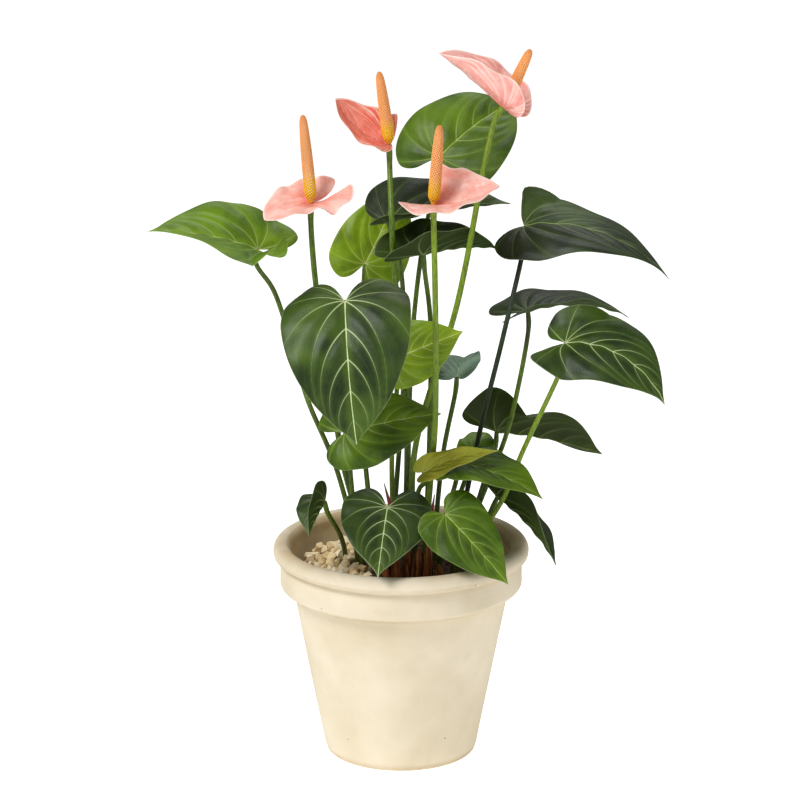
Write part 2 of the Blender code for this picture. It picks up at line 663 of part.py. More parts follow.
def make_spadix(name, bloom, collection):
    """A tapering spike with its florets raised in a chequered relief."""
    joint, upwards, _ = joint_of(bloom.spathe)
    tip = np.array(bloom.spadix_tip, float)
    lean = tilt_between(tip - joint, upwards)
    valley = math.tan(math.radians(max(bloom.spathe.fold)))
    foot = bloom.spadix_radius * SPADIX_FOOT
    base = joint + upwards * (SPATHE_THICKNESS / 2 + CLEAR + foot * (lean + valley))
    axis = tip - base
    length = float(np.linalg.norm(axis))
    draft = bmesh.new()
    bmesh.ops.create_cone(draft, cap_ends=True, segments=SPADIX_SIDES, radius1=1, radius2=1, depth=1)
    edges = [edge for edge in draft.edges if abs(edge.verts[0].co.z - edge.verts[1].co.z) > 0.5]
    bmesh.ops.subdivide_edges(draft, edges=edges, cuts=SPADIX_RINGS - 1, use_grid_fill=True)
    for corner in draft.verts:
        share = corner.co.z + 0.5
        ring = round(share * SPADIX_RINGS)
        turn = math.atan2(corner.co.y, corner.co.x)
        spoke = round(turn / math.tau * SPADIX_SIDES)
        radius = bloom.spadix_radius * spadix_profile(share)
        if 0 < ring < SPADIX_RINGS and (ring + spoke) % 2:
            radius += FLORET_RELIEF
        corner.co = Vector((radius * math.cos(turn), radius * math.sin(turn), share * length)) * MM
    draft.transform(Vector((0, 0, 1)).rotation_difference(Vector(axis)).to_matrix().to_4x4())
    bmesh.ops.translate(draft, verts=draft.verts, vec=Vector(base) * MM)
    made = add_object(name, mesh_of(draft, name), collection, "orange")
    smooth(made, 60)
    return made


def spadix_profile(share):
    """Radius along a spadix, as a share of its radius near the foot."""
    return float(np.interp(share, (0, 0.05, 0.08, 0.14, 0.9, 0.97, 1), (SPADIX_FOOT, 0.26, 0.75, 1, 0.66, 0.5, 0.2)))


def stalk_feet():
    """Where each stalk enters the soil, with its radius there."""
    feet = [(leaf.root, STALK_RADIUS * FOOT_SWELL) for leaf in LEAVES]
    feet += [(bloom.root, BLOOM_STALK_RADIUS * FOOT_SWELL) for bloom in BLOOMS]
    feet += [(root, SHEATH_RADIUS) for _, root, _ in SHEATHS]
    return feet


def main():
    clear_scene()
    parts = bpy.data.collections.new(OBJECT_NAME)
    cutters = bpy.data.collections.new("cutters")
    for collection in (parts, cutters):
        bpy.context.scene.collection.children.link(collection)
    make_pot(parts, cutters)
    feet = stalk_feet()
    make_soil(parts, cutters, feet)
    make_gravel(parts, cutters, [foot for foot in feet if foot[0][0] < BED_RIGHT_END + CHIP_EDGE])
    make_crown(parts, cutters)
    for sheath in SHEATHS:
        make_sheath(*sheath, parts)
    for leaf in LEAVES:
        stalk(leaf.name + "_stalk", leaf.root, leaf.bends, leaf.blade, STALK_RADIUS, BLADE_THICKNESS, parts)
        make_blade(leaf.name, leaf.blade, LEAF_OUTLINE, BLADE_THICKNESS, parts, leaf.colour)
    for bloom in BLOOMS:
        stalk(bloom.name + "_stalk", bloom.root, bloom.bends, bloom.spathe,
              BLOOM_STALK_RADIUS, SPATHE_THICKNESS, parts)
        make_blade(bloom.name + "_spathe", bloom.spathe, SPATHE_OUTLINE, SPATHE_THICKNESS, parts, "salmon")
        make_spadix(bloom.name + "_spadix", bloom, parts)


main()
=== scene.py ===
# %% [markdown]
# # A potted anthurium
# The solids of this plant are already made: pot, potting mix, gravel, stalks, leaves and
# blooms, each in its place. This script dresses them. It keeps every place and size, puts finer pieces
# where the solids are coarse, and gives each surface its finish. Sizes are in millimetres unless a name
# says otherwise, and MM turns them into Blender's metres where a mesh is made.

# %% Load the frame
import math
from typing import NamedTuple

import bmesh
import bpy
import numpy as np
from mathutils import Euler, Matrix, Vector


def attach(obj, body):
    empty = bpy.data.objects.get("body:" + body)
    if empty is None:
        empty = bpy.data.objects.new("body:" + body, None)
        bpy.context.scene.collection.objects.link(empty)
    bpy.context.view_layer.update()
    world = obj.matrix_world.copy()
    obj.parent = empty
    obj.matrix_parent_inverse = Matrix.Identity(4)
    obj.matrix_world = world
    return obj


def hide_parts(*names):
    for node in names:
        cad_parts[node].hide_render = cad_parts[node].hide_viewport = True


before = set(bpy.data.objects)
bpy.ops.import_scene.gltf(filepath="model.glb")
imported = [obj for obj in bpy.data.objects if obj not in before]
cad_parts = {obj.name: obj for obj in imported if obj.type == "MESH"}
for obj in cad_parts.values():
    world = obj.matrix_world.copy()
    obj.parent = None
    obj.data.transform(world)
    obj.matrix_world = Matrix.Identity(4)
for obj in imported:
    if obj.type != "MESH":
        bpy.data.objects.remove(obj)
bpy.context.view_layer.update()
MM = 0.001

# %% [markdown]
# ## A few small tools
# Colours are given as sRGB hex values, the way a colour picker shows them, but shaders count in linear
# light, so one function turns them. Node trees are long when each link is written out. One function feeds a
# node's sockets: a value that is itself a node is linked from its first open output, and a hex colour
# becomes linear light. Another adds a node and feeds it. Finishes are painted as with watercolour, by
# washes over a ground colour, and a third function lays them.

# %% Colours and nodes


def linear(hex_colour):
    """An sRGB hex colour as the linear RGBA that shaders use."""
    shares = [int(hex_colour[start:start + 2], 16) / 255 for start in (0, 2, 4)]
    return tuple(c / 12.92 if c <= 0.04045 else ((c + 0.055) / 1.055) ** 2.4 for c in shares) + (1,)


def feed(tree, node, links):
    """Gives a node's sockets values or links: by name in a dictionary, or the open ones in order."""
    for socket, value in links.items() if isinstance(links, dict) else enumerate(links):
        opened = [one for one in node.inputs if one.enabled]
        named = [one for one in opened if one.name == socket]
        place = named[0] if named else opened[socket]
        if isinstance(value, bpy.types.Node):
            value = next(one for one in value.outputs if one.enabled)
        if isinstance(value, str) and place.type == "RGBA":
            value = linear(value)
        if isinstance(value, bpy.types.NodeSocket):
            tree.links.new(value, place)
        else:
            place.default_value = value


def add(tree, kind, links=(), **settings):
    """Adds a node with its settings and feeds it. A kind without the word Node is a shader node."""
    made = tree.nodes.new(kind if "Node" in kind else "ShaderNode" + kind)
    for name, value in settings.items():
        setattr(made, name, value)
    feed(tree, made, links)
    return made


def new_material(name):
    """An empty material: its tree and its Principled shader, ready to be linked."""
    made = bpy.data.materials.new(name)
    made.use_nodes = True
    tree = made.node_tree
    tree.nodes.clear()
    shader = add(tree, "BsdfPrincipled")
    add(tree, "OutputMaterial", {"Surface": shader})
    return made, tree, shader


def washed(tree, ground, *washes):
    """Lays washes over a ground colour: for each the share it covers, its colour and maybe a strength."""
    for share, colour, *strength in washes:
        if strength:
            share = add(tree, "Math", (share, *strength), operation="MULTIPLY")
        ground = add(tree, "Mix", {"Factor": share, "A": ground, "B": colour}, data_type="RGBA")
    return ground


print("a mid grey in linear light:", linear("808080")[0])

# %% [markdown]
# ## Geometry Nodes in a script
# What repeats or follows a path is grown by a Geometry Nodes tree: stalks along their paths, florets round
# a spadix, stones over a bed. Each tree has named inputs, so one tree serves many pieces. A modifier's
# inputs are set by the socket's identifier, and the result is kept as a plain mesh, because instances don't
# survive an export.

# %% Build and run a tree


def new_tree(name, inputs):
    """A Geometry Nodes tree with named inputs. It gives the tree and its input sockets by name."""
    tree = bpy.data.node_groups.new(name, "GeometryNodeTree")
    tree.interface.new_socket("Geometry", in_out="INPUT", socket_type="NodeSocketGeometry")
    tree.interface.new_socket("Geometry", in_out="OUTPUT", socket_type="NodeSocketGeometry")
    for label, kind in inputs.items():
        tree.interface.new_socket(label, in_out="INPUT", socket_type=kind)
    start = tree.nodes.new("NodeGroupInput")
    return tree, {socket.name: socket for socket in start.outputs}


def close_tree(tree, geometry, finish):
    """Makes instances real, gives them their material and hands them out."""
    real = add(tree, "GeometryNodeRealizeInstances", {"Geometry": geometry})
    dressed = add(tree, "GeometryNodeSetMaterial", {"Geometry": real, "Material": finish})
    add(tree, "NodeGroupOutput", (dressed,))


def plain_mesh(source, name):
    """What an object looks like with its modifiers applied, as an object with no modifiers."""
    bpy.context.view_layer.update()
    evaluated = source.evaluated_get(bpy.context.evaluated_depsgraph_get())
    mesh = bpy.data.meshes.new_from_object(evaluated)
    bpy.data.objects.remove(source)
    mesh.name = name
    return linked(name, mesh)


def grown(name, source, tree, values):
    """Runs a tree on an object with these input values and keeps the result."""
    step = source.modifiers.new("grow", "NODES")
    step.node_group = tree
    for item in tree.interface.items_tree:
        if item.in_out == "INPUT" and item.name in values:
            step[item.identifier] = values[item.name]
    return plain_mesh(source, name)


def linked(name, data):
    """A new object in the scene that holds this mesh, lamp or camera."""
    made = bpy.data.objects.new(name, data)
    bpy.context.scene.collection.objects.link(made)
    return made


def meshed(name, draft):
    """A draft as a mesh."""
    mesh = bpy.data.meshes.new(name)
    draft.to_mesh(mesh)
    draft.free()
    return mesh


def joined(name, pieces, placing=Matrix()):
    """Puts one piece in the place of several, placed as a whole. It keeps the first one's finish."""
    draft = bmesh.new()
    for piece in pieces:
        draft.from_mesh(piece.data)
    mesh = pieces[0].data.copy()
    draft.transform(placing)
    draft.to_mesh(mesh)
    draft.free()
    for piece in pieces:
        bpy.data.objects.remove(piece)
    mesh.name = name
    return linked(name, mesh)


def stands_for(piece, slot, *nodes):
    """Ties a finished piece to the plant and hides the solids that it is shown for. The slot is not used."""
    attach(piece, "root")
    if nodes:
        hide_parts(*nodes)
    return piece


print("trees are closed by Realize Instances and Set Material")

# %% [markdown]
# ## Camera, floor and light
# The photograph was taken from three metres away, a little above the blooms, with a long lens, on a white
# floor in a bright studio. A large plane serves as floor and backdrop, since the camera looks down and
# never sees its end. It glows faintly, as a floor lit by lamps of its own does, and stays white. Glossy
# leaves don't mirror it. The world is dim, because dark glossy leaves mirror it: the darker it is, the
# deeper their green. A wide lamp at the upper left draws the bright sides of stalks and spadices, a weaker
# one at the right opens the shadows, and one above and behind lays the grey sheen on the leaves. The
# Standard view keeps the whites white.

# %% Camera
CAMERA_PLACE = (0, -3.0, 1.183)
CAMERA_PITCH = 15.91
CAMERA_LENS = 157.6
FRAME_SHIFT = -0.9 / 800

camera = linked("camera", bpy.data.cameras.new("camera"))
camera.location = CAMERA_PLACE
camera.rotation_euler = Euler((math.radians(90 - CAMERA_PITCH), 0, 0))
camera.data.lens = CAMERA_LENS
camera.data.sensor_width = 36
camera.data.shift_x = FRAME_SHIFT
bpy.context.scene.camera = camera
bpy.context.scene.view_settings.view_transform = "Standard"
print("field of view:", math.degrees(camera.data.angle))

# %% Floor and world
FLOOR_SIDE = 40
floor_draft = bmesh.new()
bmesh.ops.create_grid(floor_draft, x_segments=1, y_segments=1, size=FLOOR_SIDE / 2)
floor = linked("floor", meshed("floor", floor_draft))
floor_paint, floor_tree, floor_shader = new_material("matt white studio floor")
feed(floor_tree, floor_shader,
     {"Base Color": "F6F7F8", "Roughness": 0.9, "Emission Color": "FFFFFF", "Emission Strength": 0.72})
floor.data.materials.append(floor_paint)
floor.visible_glossy = False

world = bpy.data.worlds.new("studio")
world.use_nodes = True
feed(world.node_tree, world.node_tree.nodes["Background"], {"Color": "FFFFFF", "Strength": 0.3})
bpy.context.scene.world = world
print("floor and world are ready")

# %% Lamps


def lamp(name, place, target, side, power):
    """A square lamp that looks at a target."""
    light = bpy.data.lights.new(name, "AREA")
    light.size = side
    light.energy = power
    made = linked(name, light)
    made.location = place
    made.rotation_euler = (Vector(target) - Vector(place)).to_track_quat("-Z", "Y").to_euler()


MIDDLE = (0, 0, 0.32)
lamp("key", (-1.4, -1.4, 2.3), MIDDLE, 0.9, 50)
lamp("fill", (1.8, -1.6, 1.0), MIDDLE, 1.4, 6)
lamp("sheen", (0.3, 1.1, 2.2), MIDDLE, 0.9, 10)
print("three lamps look at the middle of the plant")

# %% [markdown]
# ## How each leaf and bloom hangs
# The plant's order of growth is a table: for each leaf the place of its stalk in the mix, the points that
# the stalk passes, and how the blade hangs. A blade is told by its joint, its tip and the side that it
# faces, then by its bends. These are the values of the solids, so every finer piece lies exactly over its
# solid.

# %% The plant's table
SHEATH_RADIUS = 2.8


class Blade(NamedTuple):
    """How a leaf or a spathe hangs: where it starts and ends, where it faces, and how it bends."""

    joint: tuple  # where the stalk meets it
    tip: tuple
    facing: tuple  # rough direction of its upper face
    width: float = 1.0  # share of the outline's own width
    lobes: tuple = (1, 1)  # share of the outline's own lobes, left and right
    arch: float = 30  # bend of the midrib from joint to tip
    lift: float = 0  # bend upwards of the lobes, behind the joint
    fold: tuple = (12, 12)  # rise of the left and the right half from the midrib
    curl: tuple = (-25, -25)  # further bend of each half up to its margin
    lobe_curl: tuple = (0, 0)  # further bend of each lobe
    wave: float = 2.0  # height of the waves along the margin
    turns: float = 2.0  # waves from tip to lobe
    twist: float = 0
    bow: float = 0  # sideways bend of the midrib, to the left


class Leaf(NamedTuple):
    """A leaf: its stalk's place in the soil, the points that the stalk passes, its blade and its colour."""

    name: str
    root: tuple
    bends: tuple
    blade: Blade
    colour: str = "dark"


class Bloom(NamedTuple):
    """A bloom: its stalk, its coloured spathe and the tip of its spadix."""

    name: str
    root: tuple
    bends: tuple
    spathe: Blade
    spadix_tip: tuple
    spadix_radius: float = 5.2


LEAVES = (
    Leaf("leaf_far_left", (-38, -12),
         ((-57, -15, 267), (-83, -25, 337), (-99, -28, 398), (-112, -31, 438)),
         Blade((-125, -34, 474), (-218, -60, 496), (0, -0.35, 0.93), width=1.1, lobes=(0.7, 1.3), arch=25,
               lift=20, fold=(8, 30), curl=(-10, -10), lobe_curl=(160, -30), twist=26), "mid"),
    Leaf("leaf_behind_top", (6, 36), ((8, 48, 318), (12, 60, 391), (22, 74, 466)),
         Blade((35, 85, 531), (103, 145, 566), (-0.1, -0.85, 0.5), width=1.15, lobes=(1.0, 0.35), arch=70,
               curl=(-45, -10)), "mid"),
    Leaf("leaf_shaded_top", (-8, 24), ((2, 26, 330), (3, 25, 394), (-1, 25, 448)),
         Blade((-11, 25, 484), (98, 35, 499), (0, -0.17, 0.98), lobes=(0.5, 0.5), fold=(30, 30),
               curl=(-5, 0), arch=12), "dark"),
    Leaf("leaf_translucent", (-24, 18), ((-34, 40, 280), (-36, 55, 370)),
         Blade((-32, 65, 437), (2, 92, 504), (0.1, -0.95, 0.3), width=1.05, lobes=(0.85, 0.85), arch=15),
         "bright"),
    Leaf("leaf_centre_folded", (22, -6), ((26, 8, 310), (26, 12, 400)),
         Blade((20, 0, 461), (87, 38, 457), (0, -0.2, 0.98), lobes=(1.8, 1.8), arch=20, fold=(50, 55),
               curl=(-20, 10)), "dark"),
    Leaf("leaf_right_top", (50, 8), ((70, -12, 301), (90, -28, 395)),
         Blade((108, 0, 487), (234, -40, 448), (0.05, -0.05, 1), width=0.75, lobes=(0.1, 0.6), arch=60,
               fold=(26, -8), curl=(-20, -54), lobe_curl=(100, 10), twist=-28), "dark"),
    Leaf("leaf_right_middle", (57, 22), ((95, 24, 289), (105, 24, 332)),
         Blade((113, 20, 404), (205, 45, 392), (0, 0.05, 1), arch=40, fold=(24, 16), curl=(-25, 5)),
         "dark"),
    Leaf("leaf_right_heart", (48, -20), ((76, -42, 225), (92, -47, 254), (106, -39, 288)),
         Blade((143, -62, 397), (227, -105, 353), (0.25, -0.6, 0.75), width=0.92, lobes=(0.7, 0.4),
               arch=65, curl=(-25, -52), lobe_curl=(80, 75), bow=8), "dark"),
    Leaf("leaf_right_low", (60, 38), ((74, 50, 230),),
         Blade((87, 58, 281), (185, 70, 256), (0, 0.8, 0.6), width=1.1, lobes=(0.15, 1.25), arch=18,
               fold=(60, 14), curl=(10, -70), lobe_curl=(0, 120), twist=-40), "dark"),
    Leaf("leaf_front_heart", (-24, -8), ((-34, 2, 290), (-41, -2, 365), (-46, -50, 427)),
         Blade((-48, -88, 441), (-38, -112, 320), (-0.05, -0.95, 0.2), lobes=(0.6, 0.6), arch=85,
               lobe_curl=(-10, -40), wave=3.5), "dark"),
    Leaf("leaf_left_low", (-34, -24), ((-42, -34, 240),),
         Blade((-49, -46, 311), (36, -34, 325), (0, -0.72, 0.65), lobes=(0.9, 0.9), arch=20, lift=-40,
               curl=(-25, -45), lobe_curl=(-20, 0)), "mid"),
    Leaf("leaf_centre_bright", (-6, 4), ((-8, -4, 280),),
         Blade((-4, -28, 374), (55, -26, 398), (0, -0.92, 0.38), width=1.1, arch=20, curl=(-25, -50)),
         "bright"),
    Leaf("leaf_small_silver", (30, 14), ((38, 24, 270),),
         Blade((50, 20, 344), (58, 80, 345), (0, -0.05, 1), width=0.95, lobes=(0.6, 0.6), fold=(30, 38),
               curl=(-50, -10)), "silver"),
    Leaf("leaf_left_small", (-50, 4), ((-54, -14, 205),),
         Blade((-67, -57, 251), (-81, -82, 227), (-0.25, -0.8, 0.45), width=1.55, lobes=(0.7, 0.7),
               fold=(100, 0), curl=(0, -20)), "dark"),
    Leaf("leaf_front_low", (-14, -32), ((-13, -45, 215),),
         Blade((-12, -60, 246), (-20, -128, 205), (0, -0.5, 0.87), width=1.2, arch=15), "dark"),
    Leaf("leaf_front_bright", (34, -44), ((36, -54, 212),),
         Blade((39, -82, 247), (94, -105, 190), (0.1, -0.8, 0.6), width=0.9, lobes=(0.5, 0.5), arch=15),
         "mid"),
    Leaf("leaf_right_front", (62, -4), ((75, -12, 215),),
         Blade((86, -22, 244), (137, -75, 197), (0.55, -0.25, 0.8), width=0.85, lobes=(0.5, 0.5), arch=25,
               fold=(12, 40), curl=(-20, 60)), "dark"),
    Leaf("leaf_right_centre", (34, -26), ((42, -32, 235),),
         Blade((50, -40, 282), (124, -92, 264), (0.1, -0.25, 0.95), width=0.9, lobes=(0.25, 0.25),
               arch=25, fold=(15, 18), lobe_curl=(0, -70)), "mid"),
    Leaf("leaf_young_olive", (12, -22), ((13, -28, 235), (17, -37, 258)),
         Blade((20, -54, 277), (86, -64, 300), (0, -0.5, 0.85), width=0.42, lobes=(0.35, 0.35),
               fold=(60, 10)), "olive"),
    Leaf("leaf_behind_round", (40, 32), ((52, 32, 225),),
         Blade((66, 34, 272), (79, 70, 277), (0, -0.5, 0.9)), "dark"),
)

BLOOMS = (
    Bloom("bloom_left", (-30, 1), ((-52, 0, 270), (-63, 4, 350), (-75, -14, 440)),
          Blade((-78, -22, 512), (-118, -48, 503), (0, -0.3, 0.95), width=1.15, lobes=(2.8, 2.4), arch=20,
                lift=25, fold=(10, 16), curl=(12, 20), lobe_curl=(-30, 0)), (-85, -20, 590)),
    Bloom("bloom_centre_left", (4, 8), ((5, 0, 330), (-6.5, -15, 459), (-8, -23, 500)),
          Blade((-10, 4, 559), (-57, 2, 600), (0.5, -0.55, 0.65), width=0.9, lobes=(0.3, 0.15), arch=-70,
                fold=(15, 35), curl=(20, 25)), (-19, -5, 625)),
    Bloom("bloom_top_right", (12, -10), ((12, -8, 280), (50, -3, 418), (74, -2, 547)),
          Blade((89, 0, 593), (33, 8, 639), (0.35, -0.45, 0.8), lobes=(0.7, 1.0), arch=10, fold=(36, 10),
                curl=(90, 20)), (112, -8, 645)),
    Bloom("bloom_centre", (20, -36), ((26, -38, 262), (30, -48, 320), (30, -60, 420)),
          Blade((28, -60, 519), (85, -58, 535), (-0.1, 0, 1), width=1.4, lobes=(0.1, 1.8), arch=-30,
                fold=(28, 14), curl=(66, -20), lobe_curl=(0, -10)), (33, -65, 590)),
)

# Pink sheaths of coming buds: place in the soil, then the points up to the tip
SHEATHS = (
    ("bud_sheath_left", (-4, -16), ((-8, -13, 225), (-15, -12, 254))),
    ("bud_sheath_right", (25, -17), ((26, -19, 215), (30, -20, 246))),
)

print("leaves:", len(LEAVES), "blooms:", len(BLOOMS))

# %% [markdown]
# ## The pot
# A pot like this is thrown or pressed from earthenware and limewashed. It is turned on a lathe here: a
# profile, one half of a cut through the wall, goes round the Z axis with a Screw modifier. The solid has
# forty sides, which would show as corners against white, so this piece repeats its profile with rounder
# arcs and many more steps. The three drain holes are cut as in the solid. No clay pot is perfectly round: a
# slow wave of a few tenths of a millimetre takes the machine look away.

# %% The pot's shape
POT_HEIGHT = 197
POT_FOOT_RADIUS = 68
POT_NECK_RADIUS = 97.5
POT_NECK_HEIGHT = 155
COLLAR_RADIUS = 109
COLLAR_ROUND = 5
GROOVE_RADIUS = 108
GROOVE_HEIGHT = 184.5
LIP_RADIUS = 115
LIP_HALF_WIDTH = 8
LIP_HALF_HEIGHT = 8.5
MOUTH_RADIUS = 99
WALL = 9
FLOOR = 10
FOOT_ROUND = 3
POT_STEPS = 160
HAND_WAVE = 0.35


def arc(centre, radii, start, end, count):
    """Points on an ellipse from one angle to another."""
    angles = np.radians(np.linspace(start, end, count))
    return [(centre[0] + radii[0] * math.cos(a), centre[1] + radii[1] * math.sin(a)) for a in angles]


def inner_radius(height):
    """Radius of the pot's inner wall at a height."""
    heights = (FLOOR, POT_NECK_HEIGHT, POT_HEIGHT - 2 * LIP_HALF_HEIGHT)
    radii = (POT_FOOT_RADIUS - WALL + 1, POT_NECK_RADIUS - WALL, MOUTH_RADIUS - 1)
    return float(np.interp(height, heights, radii))


def pot_profile():
    """Half a cut through the pot, from the middle of its floor over the lip and down to its foot."""
    lip_height = POT_HEIGHT - LIP_HALF_HEIGHT
    lip_middle = LIP_RADIUS - LIP_HALF_WIDTH
    line = [(0, FLOOR), (inner_radius(FLOOR), FLOOR)]
    line += [(inner_radius(h), h) for h in np.linspace(FLOOR + 4, lip_height - LIP_HALF_HEIGHT, 14)]
    line += arc((lip_middle, lip_height), (lip_middle - MOUTH_RADIUS, LIP_HALF_HEIGHT), 178, 90, 12)
    line += arc((lip_middle, lip_height), (LIP_HALF_WIDTH, LIP_HALF_HEIGHT), 80, -28, 14)
    line += arc((GROOVE_RADIUS + 2.5, GROOVE_HEIGHT - 3), (3, 3), 150, 215, 5)
    line += [(COLLAR_RADIUS - 0.2, h) for h in (176, 168)]
    foot = POT_NECK_HEIGHT + COLLAR_ROUND
    line += arc((COLLAR_RADIUS - COLLAR_ROUND, foot), (COLLAR_ROUND, COLLAR_ROUND), 0, -80, 8)
    line += arc((POT_NECK_RADIUS + 3, POT_NECK_HEIGHT - 2.8), (3, 3), 90, 180, 6)
    slope = np.linspace(POT_NECK_HEIGHT - 8, FOOT_ROUND + 3, 12)
    radii = np.interp(slope, (0, POT_NECK_HEIGHT), (POT_FOOT_RADIUS, POT_NECK_RADIUS))
    line += list(zip(radii.tolist(), slope.tolist()))
    line += arc((POT_FOOT_RADIUS - FOOT_ROUND, FOOT_ROUND), (FOOT_ROUND, FOOT_ROUND), 0, -90, 6)
    return line + [(0, 0)]


def turned(name, profile, steps):
    """A profile turned round the Z axis, as a plain closed mesh."""
    draft = bmesh.new()
    corners = [draft.verts.new((radius * MM, 0, height * MM)) for radius, height in profile]
    for first, second in zip(corners, corners[1:]):
        draft.edges.new((first, second))
    made = linked(name, meshed(name, draft))
    screw = made.modifiers.new("turn", "SCREW")
    screw.steps = steps
    screw.render_steps = steps
    screw.use_merge_vertices = True
    screw.merge_threshold = 0.01 * MM
    return plain_mesh(made, name)


pot = turned("clay_pot", pot_profile(), POT_STEPS)
print("pot faces:", len(pot.data.polygons))

# %% Drain holes and the maker's hand
DRAIN_RADIUS = 5
DRAIN_RING = 34
DRAIN_COUNT = 3

drains = bmesh.new()
for index in range(DRAIN_COUNT):
    turn = math.tau * index / DRAIN_COUNT
    middle = Vector((DRAIN_RING * math.cos(turn), DRAIN_RING * math.sin(turn), FLOOR / 2))
    place = Matrix.Translation(middle * MM)
    bmesh.ops.create_cone(drains, cap_ends=True, segments=32, radius1=DRAIN_RADIUS * MM,
                          radius2=DRAIN_RADIUS * MM, depth=2 * FLOOR * MM, matrix=place)
drain_cutter = linked("drains", meshed("drains", drains))
cut = pot.modifiers.new("drains", "BOOLEAN")
cut.operation = "DIFFERENCE"
cut.object = drain_cutter
cut.solver = "EXACT"
pot = plain_mesh(pot, "clay_pot")
bpy.data.objects.remove(drain_cutter)

for corner in pot.data.vertices:
    turn = math.atan2(corner.co.y, corner.co.x)
    wave = math.sin(2 * turn + 0.7) + 0.6 * math.sin(3 * turn - 30 * corner.co.z)
    share = HAND_WAVE * wave * min(1, corner.co.z / (40 * MM)) * MM / max(corner.co.xy.length, 10 * MM)
    corner.co.xy *= 1 + share
pot.data.shade_smooth()
pot.data.set_sharp_from_angle(angle=math.radians(50))
print("pot corners:", len(pot.data.vertices))

# %% [markdown]
# ### Limewashed earthenware
# Lime gives a dead-matt cream skin, a touch warmer where it is thin. What makes it read as clay and not as
# plastic is what lies on it: slow cloudy patches, pits of half a millimetre left by gas in the clay, a tan
# stain inside and over the lip where water has stood, and a little brown dust and painted shade in the
# groove, under the collar and at the foot. The bands are found by their height, so Object coordinates
# serve. Scales come from sizes: a Noise scale of 14 on metre coordinates has patches of about 70 mm, and a
# Voronoi scale of 45 puts a pit about every 22 mm.

# %% Pot material
clay, tree, shader = new_material("limewashed earthenware")
place = add(tree, "TexCoord").outputs["Object"]
parts = add(tree, "SeparateXYZ", (place,))
height = parts.outputs["Z"]
flat = add(tree, "VectorMath", (place, (1, 1, 0)), operation="MULTIPLY")
reach = add(tree, "VectorMath", (flat,), operation="LENGTH").outputs["Value"]
patches = add(tree, "TexNoise", {"Vector": place, "Scale": 14, "Detail": 4, "Roughness": 0.55})
clouds = add(tree, "MapRange", {"Value": patches, "From Min": 0.35, "From Max": 0.7})

smudges = add(tree, "TexNoise", {"Vector": place, "Scale": 38, "Detail": 6, "Roughness": 0.65})
smudge = add(tree, "MapRange", {"Value": smudges, "From Min": 0.6, "From Max": 0.78, "To Max": 0.3})

wall_middle = add(tree, "MapRange",
                  {"Value": height, "From Max": 0.15, "To Min": 0.0635, "To Max": 0.0925})
collar = add(tree, "MapRange", {"Value": height, "From Min": 0.15, "From Max": 0.16, "To Max": 0.103})
wall_reach = add(tree, "Math", (wall_middle, collar), operation="MAXIMUM")
inner_wall = add(tree, "Math", (reach, wall_reach), operation="LESS_THAN")
uneven = add(tree, "MapRange",
             {"Value": smudges, "From Min": 0.3, "From Max": 0.6, "To Min": 0.45, "To Max": 1})
inner_stain = add(tree, "Math", (inner_wall, uneven), operation="MULTIPLY")
stained = washed(tree, "E2D6BE", (clouds, "D3C5A8"), (smudge, "C9B28A"), (inner_stain, "CDB58C"))
print("the clay's cloudy ground and its inner stain are laid")

# %% Dust and painted shade in the groove, under the collar and at the foot
# Each band's middle and half its width in metres, and its strength
SHADE_AND_DUST_BANDS = ((0.1855, 0.004, 0.3), (0.1545, 0.0045, 0.6), (0.002, 0.006, 0.45))
SHADE_AND_DUST_COLOUR = "A98C62"

# Painted shade and dust: each band darkens the clay in brown, partly as dust and partly as the shade that
# falls in the groove, under the collar and at the foot
dusty_and_shaded = stained
for middle, half_width, strength in SHADE_AND_DUST_BANDS:
    off = add(tree, "Math", (height, middle), operation="SUBTRACT")
    size = add(tree, "Math", (off,), operation="ABSOLUTE")
    band = add(tree, "MapRange",
               {"Value": size, "From Min": half_width, "From Max": 0, "To Max": strength},
               interpolation_type="SMOOTHSTEP")
    dusty_and_shaded = washed(tree, dusty_and_shaded, (band, SHADE_AND_DUST_COLOUR, uneven))

lip_top = add(tree, "MapRange", {"Value": height, "From Min": 0.1925, "From Max": 0.1965})
lip_patch = add(tree, "MapRange", {"Value": patches, "From Min": 0.42, "From Max": 0.62, "To Max": 0.55})
lipped = washed(tree, dusty_and_shaded, (lip_top, "C4A578", lip_patch))
print("dust bands:", len(SHADE_AND_DUST_BANDS))

# %% Pits and grain
PIT_SCALE = 45
pits = add(tree, "TexVoronoi", {"Vector": place, "Scale": PIT_SCALE})
hole = add(tree, "MapRange", {"Value": pits.outputs["Distance"], "From Min": 0.055, "From Max": 0.025},
           interpolation_type="SMOOTHSTEP")
some = add(tree, "SeparateColor", (pits.outputs["Color"],))
chosen = add(tree, "Math", (some, 0.7), operation="GREATER_THAN")
pit = add(tree, "Math", (hole, chosen), operation="MULTIPLY")
pitted = washed(tree, lipped, (pit, "7C5E3C"))

grain = add(tree, "TexNoise", {"Vector": place, "Scale": 1500, "Detail": 3})
throwing = add(tree, "Math", (height, 1100), operation="MULTIPLY")
rings = add(tree, "Math", (throwing,), operation="SINE")
ringed = add(tree, "Math", (rings, 0.18, grain), operation="MULTIPLY_ADD")
sunk = add(tree, "Math", (pit, -4.0, ringed), operation="MULTIPLY_ADD")
bump = add(tree, "Bump", {"Height": sunk, "Strength": 0.55, "Distance": 0.0002})
feed(tree, shader,
     {"Base Color": pitted, "Normal": bump, "Roughness": 0.86, "IOR": 1.45, "Specular IOR Level": 0.3})

pot.data.materials.clear()
pot.data.materials.append(clay)
stands_for(pot, "clay", "pot")
print("the pot is limewashed")

# %% [markdown]
# ## Potting mix
# The mix is mostly hidden: a dark, damp disc between gravel and stalks. The solid is kept and gets a nearly
# black brown with lighter fibres. On top, a Geometry Nodes tree strews crumbs of bark, two to five
# millimetres, so that the surface breaks up where light reaches it.

